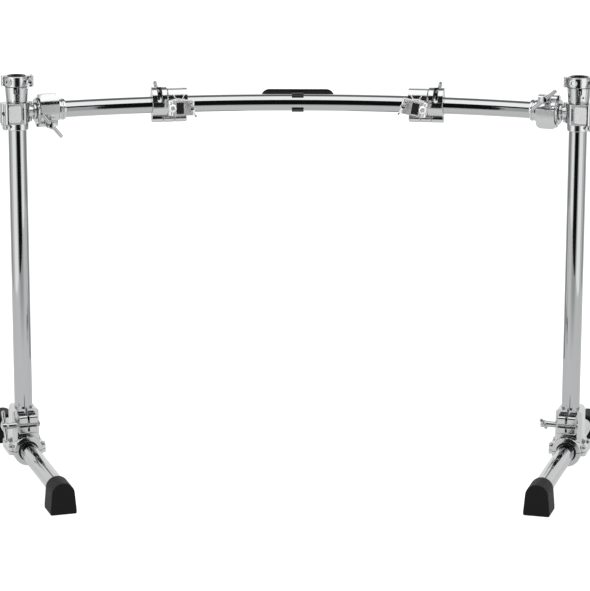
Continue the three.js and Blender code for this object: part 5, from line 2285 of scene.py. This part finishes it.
@dataclass(frozen=True)
class Base:
    """Base that holds a post on its leg, in millimetres; the post's axis is Z.

    Attributes:
        shoulder: Half of the head's flat width, and the height where its slopes start.
        flange: Half of the flange's length and of its width, and the radius of its corners.
        clear: Reach of the boxes that part the casting and the strap, up to the height top.
        slit: Half of the slit's width, the place where its cut starts, and its lower end.
        bolt: Distance in front of the post, and height, of the bolt.
        groove: Heights of the sides of the groove that the bolt swings through.
        screws: Distances of the screws from the post, across and along.
        room: Room of the liner in the casting and the strap, and its narrower mouths.
        liner: The liner, and its thinner ends.
    """

    barrel: Block = Block(Axis.Z, both(31), both(30), (60, 141), corner=11, steps=12)
    shoulder: Point = (24.0, 133.0)
    ears: Block = Block(Axis.X, (-54, 0), (88, 131), both(20.5), corner=6)
    saddle: Round = Round(Axis.Y, 34, both(46), FIT.edge)
    flange: Spot = (43.0, 38.0, 6.0)
    clear: float = 80.0
    top: float = 130.0
    seat: Round = Round(Axis.Z, POST_RADIUS + FIT.gap, (77.7, 147))
    slit: Spot = (2.5, -60.0, 88.0)
    bolt: Point = (45.0, 109.0)
    bolt_hole: Round = Round(Axis.X, 4.6, both(27), sides=Sides.HEAD)
    groove: Span = (104.4, 113.6)
    screws: Point = (38.5, 26.0)
    screw_hole: Round = Round(Axis.Z, 3.1, (0, 61), sides=Sides.SCREW)
    shank: Round = Round(Axis.Z, 2.8, (LEG_HEIGHT - 4.5, SCREW_SEAT + 1), sides=Sides.SCREW)
    head: Round = Round(Axis.Z, 5.2, (SCREW_SEAT, SCREW_SEAT + 4.5), FIT.fine_edge, Sides.HEAD)
    socket: Round = Round(Axis.Z, 2.4, (SCREW_SEAT + 2, SCREW_SEAT + 8), sides=Sides.HEXAGON)
    room: tuple[Round, Round] = (
        Round(Axis.Y, POST_RADIUS + 7, both(42.5)), Round(Axis.Y, POST_RADIUS + 2.6, both(52)))
    liner: tuple[Round, Round] = (
        Round(Axis.Y, POST_RADIUS + 6.4, both(42), FIT.boss_edge),
        Round(Axis.Y, POST_RADIUS + 2.2, both(45.5), 0.4))
    liner_slit: float = 1.0
    disc: Round = Round(Axis.Y, 6.5, (23, 27), FIT.fine_edge, Sides.BOSS)
    bearing: float = 26.0
    tip: float = 27.0

    def casting(self) -> Solid:
        """Makes the base casting: it pinches the post in front and sits on the leg.

        Returns:
            The casting.
        """
        (left, right), (low, high), (flat, slope) = self.barrel.u, self.barrel.span, self.shoulder
        profile = [(left, low), (right, low), (right, slope), (flat, high), (-flat, high), (left, slope)]
        barrel = self.barrel.solid().keep(prism(Axis.Y, profile, self.barrel.v))
        upper = self.saddle.solid(z=LEG_HEIGHT).join(self._flange(LEG_HEIGHT, LEG_HEIGHT + FLANGE_RISE))
        upper = upper.keep(self._between(LEG_HEIGHT + FIT.split / 2, self.top))
        half, front, foot = self.slit
        slit = box(both(half), (front, 0), (foot, self.seat.span[1]))
        hole = self.bolt_hole.solid(0, -self.bolt[0], self.bolt[1])
        groove = box(self.bolt_hole.span, (front, -self.bolt[0]), self.groove).join(hole)
        whole = barrel.join(self.ears.solid(), upper).cut(self.seat.solid(), self._room(), slit, groove)
        return whole.cut(*[self.screw_hole.solid(x, y) for x, y in self._screw_places()])

    def strap(self) -> Solid:
        """Makes the strap under the leg with its four screws.

        Returns:
            The strap and its screws.
        """
        low = self.saddle.solid(z=LEG_HEIGHT).join(self._flange(LEG_HEIGHT - FLANGE_RISE, LEG_HEIGHT))
        low = low.keep(self._between(0, LEG_HEIGHT - FIT.split / 2)).cut(self._room())
        screw = self.shank.solid().join(self.head.solid()).cut(self.socket.solid())
        return low.join(*[screw.at(x, y, 0) for x, y in self._screw_places()])

    def liner_ring(self) -> Solid:
        """Makes the split nylon liner between the leg and its base.

        Returns:
            The liner.
        """
        thick, thin = self.liner
        bore = rod(Axis.Y, POST_RADIUS + FIT.gap, both(CLEAR), 0, Sides.SEAT)
        slit = box(both(self.liner_slit), both(CLEAR), (-CLEAR, 0))
        return thick.solid().join(thin.solid()).cut(bore, slit).at(z=LEG_HEIGHT)

    def handle(self, tilt: float) -> Solid:
        """Makes the base's bolt, its handle towards -X and turned by the degrees given."""
        handle = LONG_TEE.build(self.bearing, tilt, self.tip).join(self.disc.solid())
        return handle.spun(-90, Axis.Z).at(0, -self.bolt[0], self.bolt[1])

    def _between(self, low: float, high: float) -> Solid:
        """Gives the box between two heights."""
        return box(both(self.clear), both(self.clear), (low, high))

    def _room(self) -> Solid:
        """Gives the room of the liner, narrower at both mouths."""
        wide, mouths = self.room
        return wide.solid().join(mouths.solid()).at(z=LEG_HEIGHT)

    def _flange(self, low: float, high: float) -> Solid:
        """Gives the flat plate where the casting and its strap are screwed together."""
        length, width, corner = self.flange
        return prism(Axis.Z, rounded(both(length), both(width), corner), (low, high))

    def _screw_places(self) -> list[Point]:
        """Gives the places of the four screws."""
        return [(x, y) for x in both(self.screws[0]) for y in both(self.screws[1])]


@dataclass
class Leg:
    """T leg: its tube, its rubber feet and the base that holds the post.

    Attributes:
        front: Distance of the front foot's nose from the post.
        rear: Distance of the rear foot's nose from the post.
        inset: How far the tube ends behind a foot's nose.
        yaws: Turns of the left and the right leg, in degrees.
        tilts: Turns of the handles on the left and the right base, in degrees.
    """

    base: Base = Base()
    foot: Foot = Foot()
    front: float = 395.0
    rear: float = 248.0
    inset: float = 6.3
    yaws: tuple[float, float] = (18.0, -16.0)
    tilts: tuple[float, float] = (60.0, -30.0)

    def build(self, shop: Workshop) -> None:
        """Makes both legs.

        Args:
            shop: Workshop that shows the pieces.
        """
        base, foot = self.base, self.foot.build()
        pieces = {"base_casting": base.casting(), "leg_strap": base.strap(), "base_liner": base.liner_ring()}
        front, rear = Matrix.Translation((0, -self.front, 0)), Matrix.Translation((0, self.rear, 0))
        about = Matrix.Rotation(math.pi, 4, "Z")
        for (name, side), yaw, tilt in zip(SIDES, self.yaws, self.tilts):
            place = spot(side * HALF_SPACING, 0, 0, math.radians(yaw))
            shop.publish(f"{name}_leg_tube", self._tube(), place)
            shop.publish(f"{name}_front_foot", foot, place @ front)
            shop.publish(f"{name}_rear_foot", foot, place @ rear @ about)
            for part, solid in pieces.items():
                shop.publish(f"{name}_{part}", solid, place)
            shop.publish(f"{name}_base_handle", base.handle(tilt), place)

    def _tube(self) -> Solid:
        """Makes the tube of the leg.

        Returns:
            The tube.
        """
        low, high = self.inset - self.front, self.rear - self.inset
        outer = rod(Axis.Y, POST_RADIUS, (low, high), 0, Sides.TUBE)
        bore = (low - FIT.overrun, high + FIT.overrun)
        return outer.cut(rod(Axis.Y, POST_RADIUS - WALL, bore, 0, Sides.SEAT)).at(z=LEG_HEIGHT)


def main() -> None:
    """Builds the scene and reports each part of it."""
    logging.basicConfig(level=logging.INFO, format="%(name)s: %(message)s")
    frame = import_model()
    Stage().build()
    workshop = Workshop(frame["nodes"])
    workshop.dress_frame()
    bar = Bar()
    bar.build(workshop)
    Badge().build(workshop, bar)
    Corner(bar).build(workshop)
    MiddleClamp(bar).build(workshop)
    Post().build(workshop)
    Leg().build(workshop)


if __name__ == "__main__":
    main()
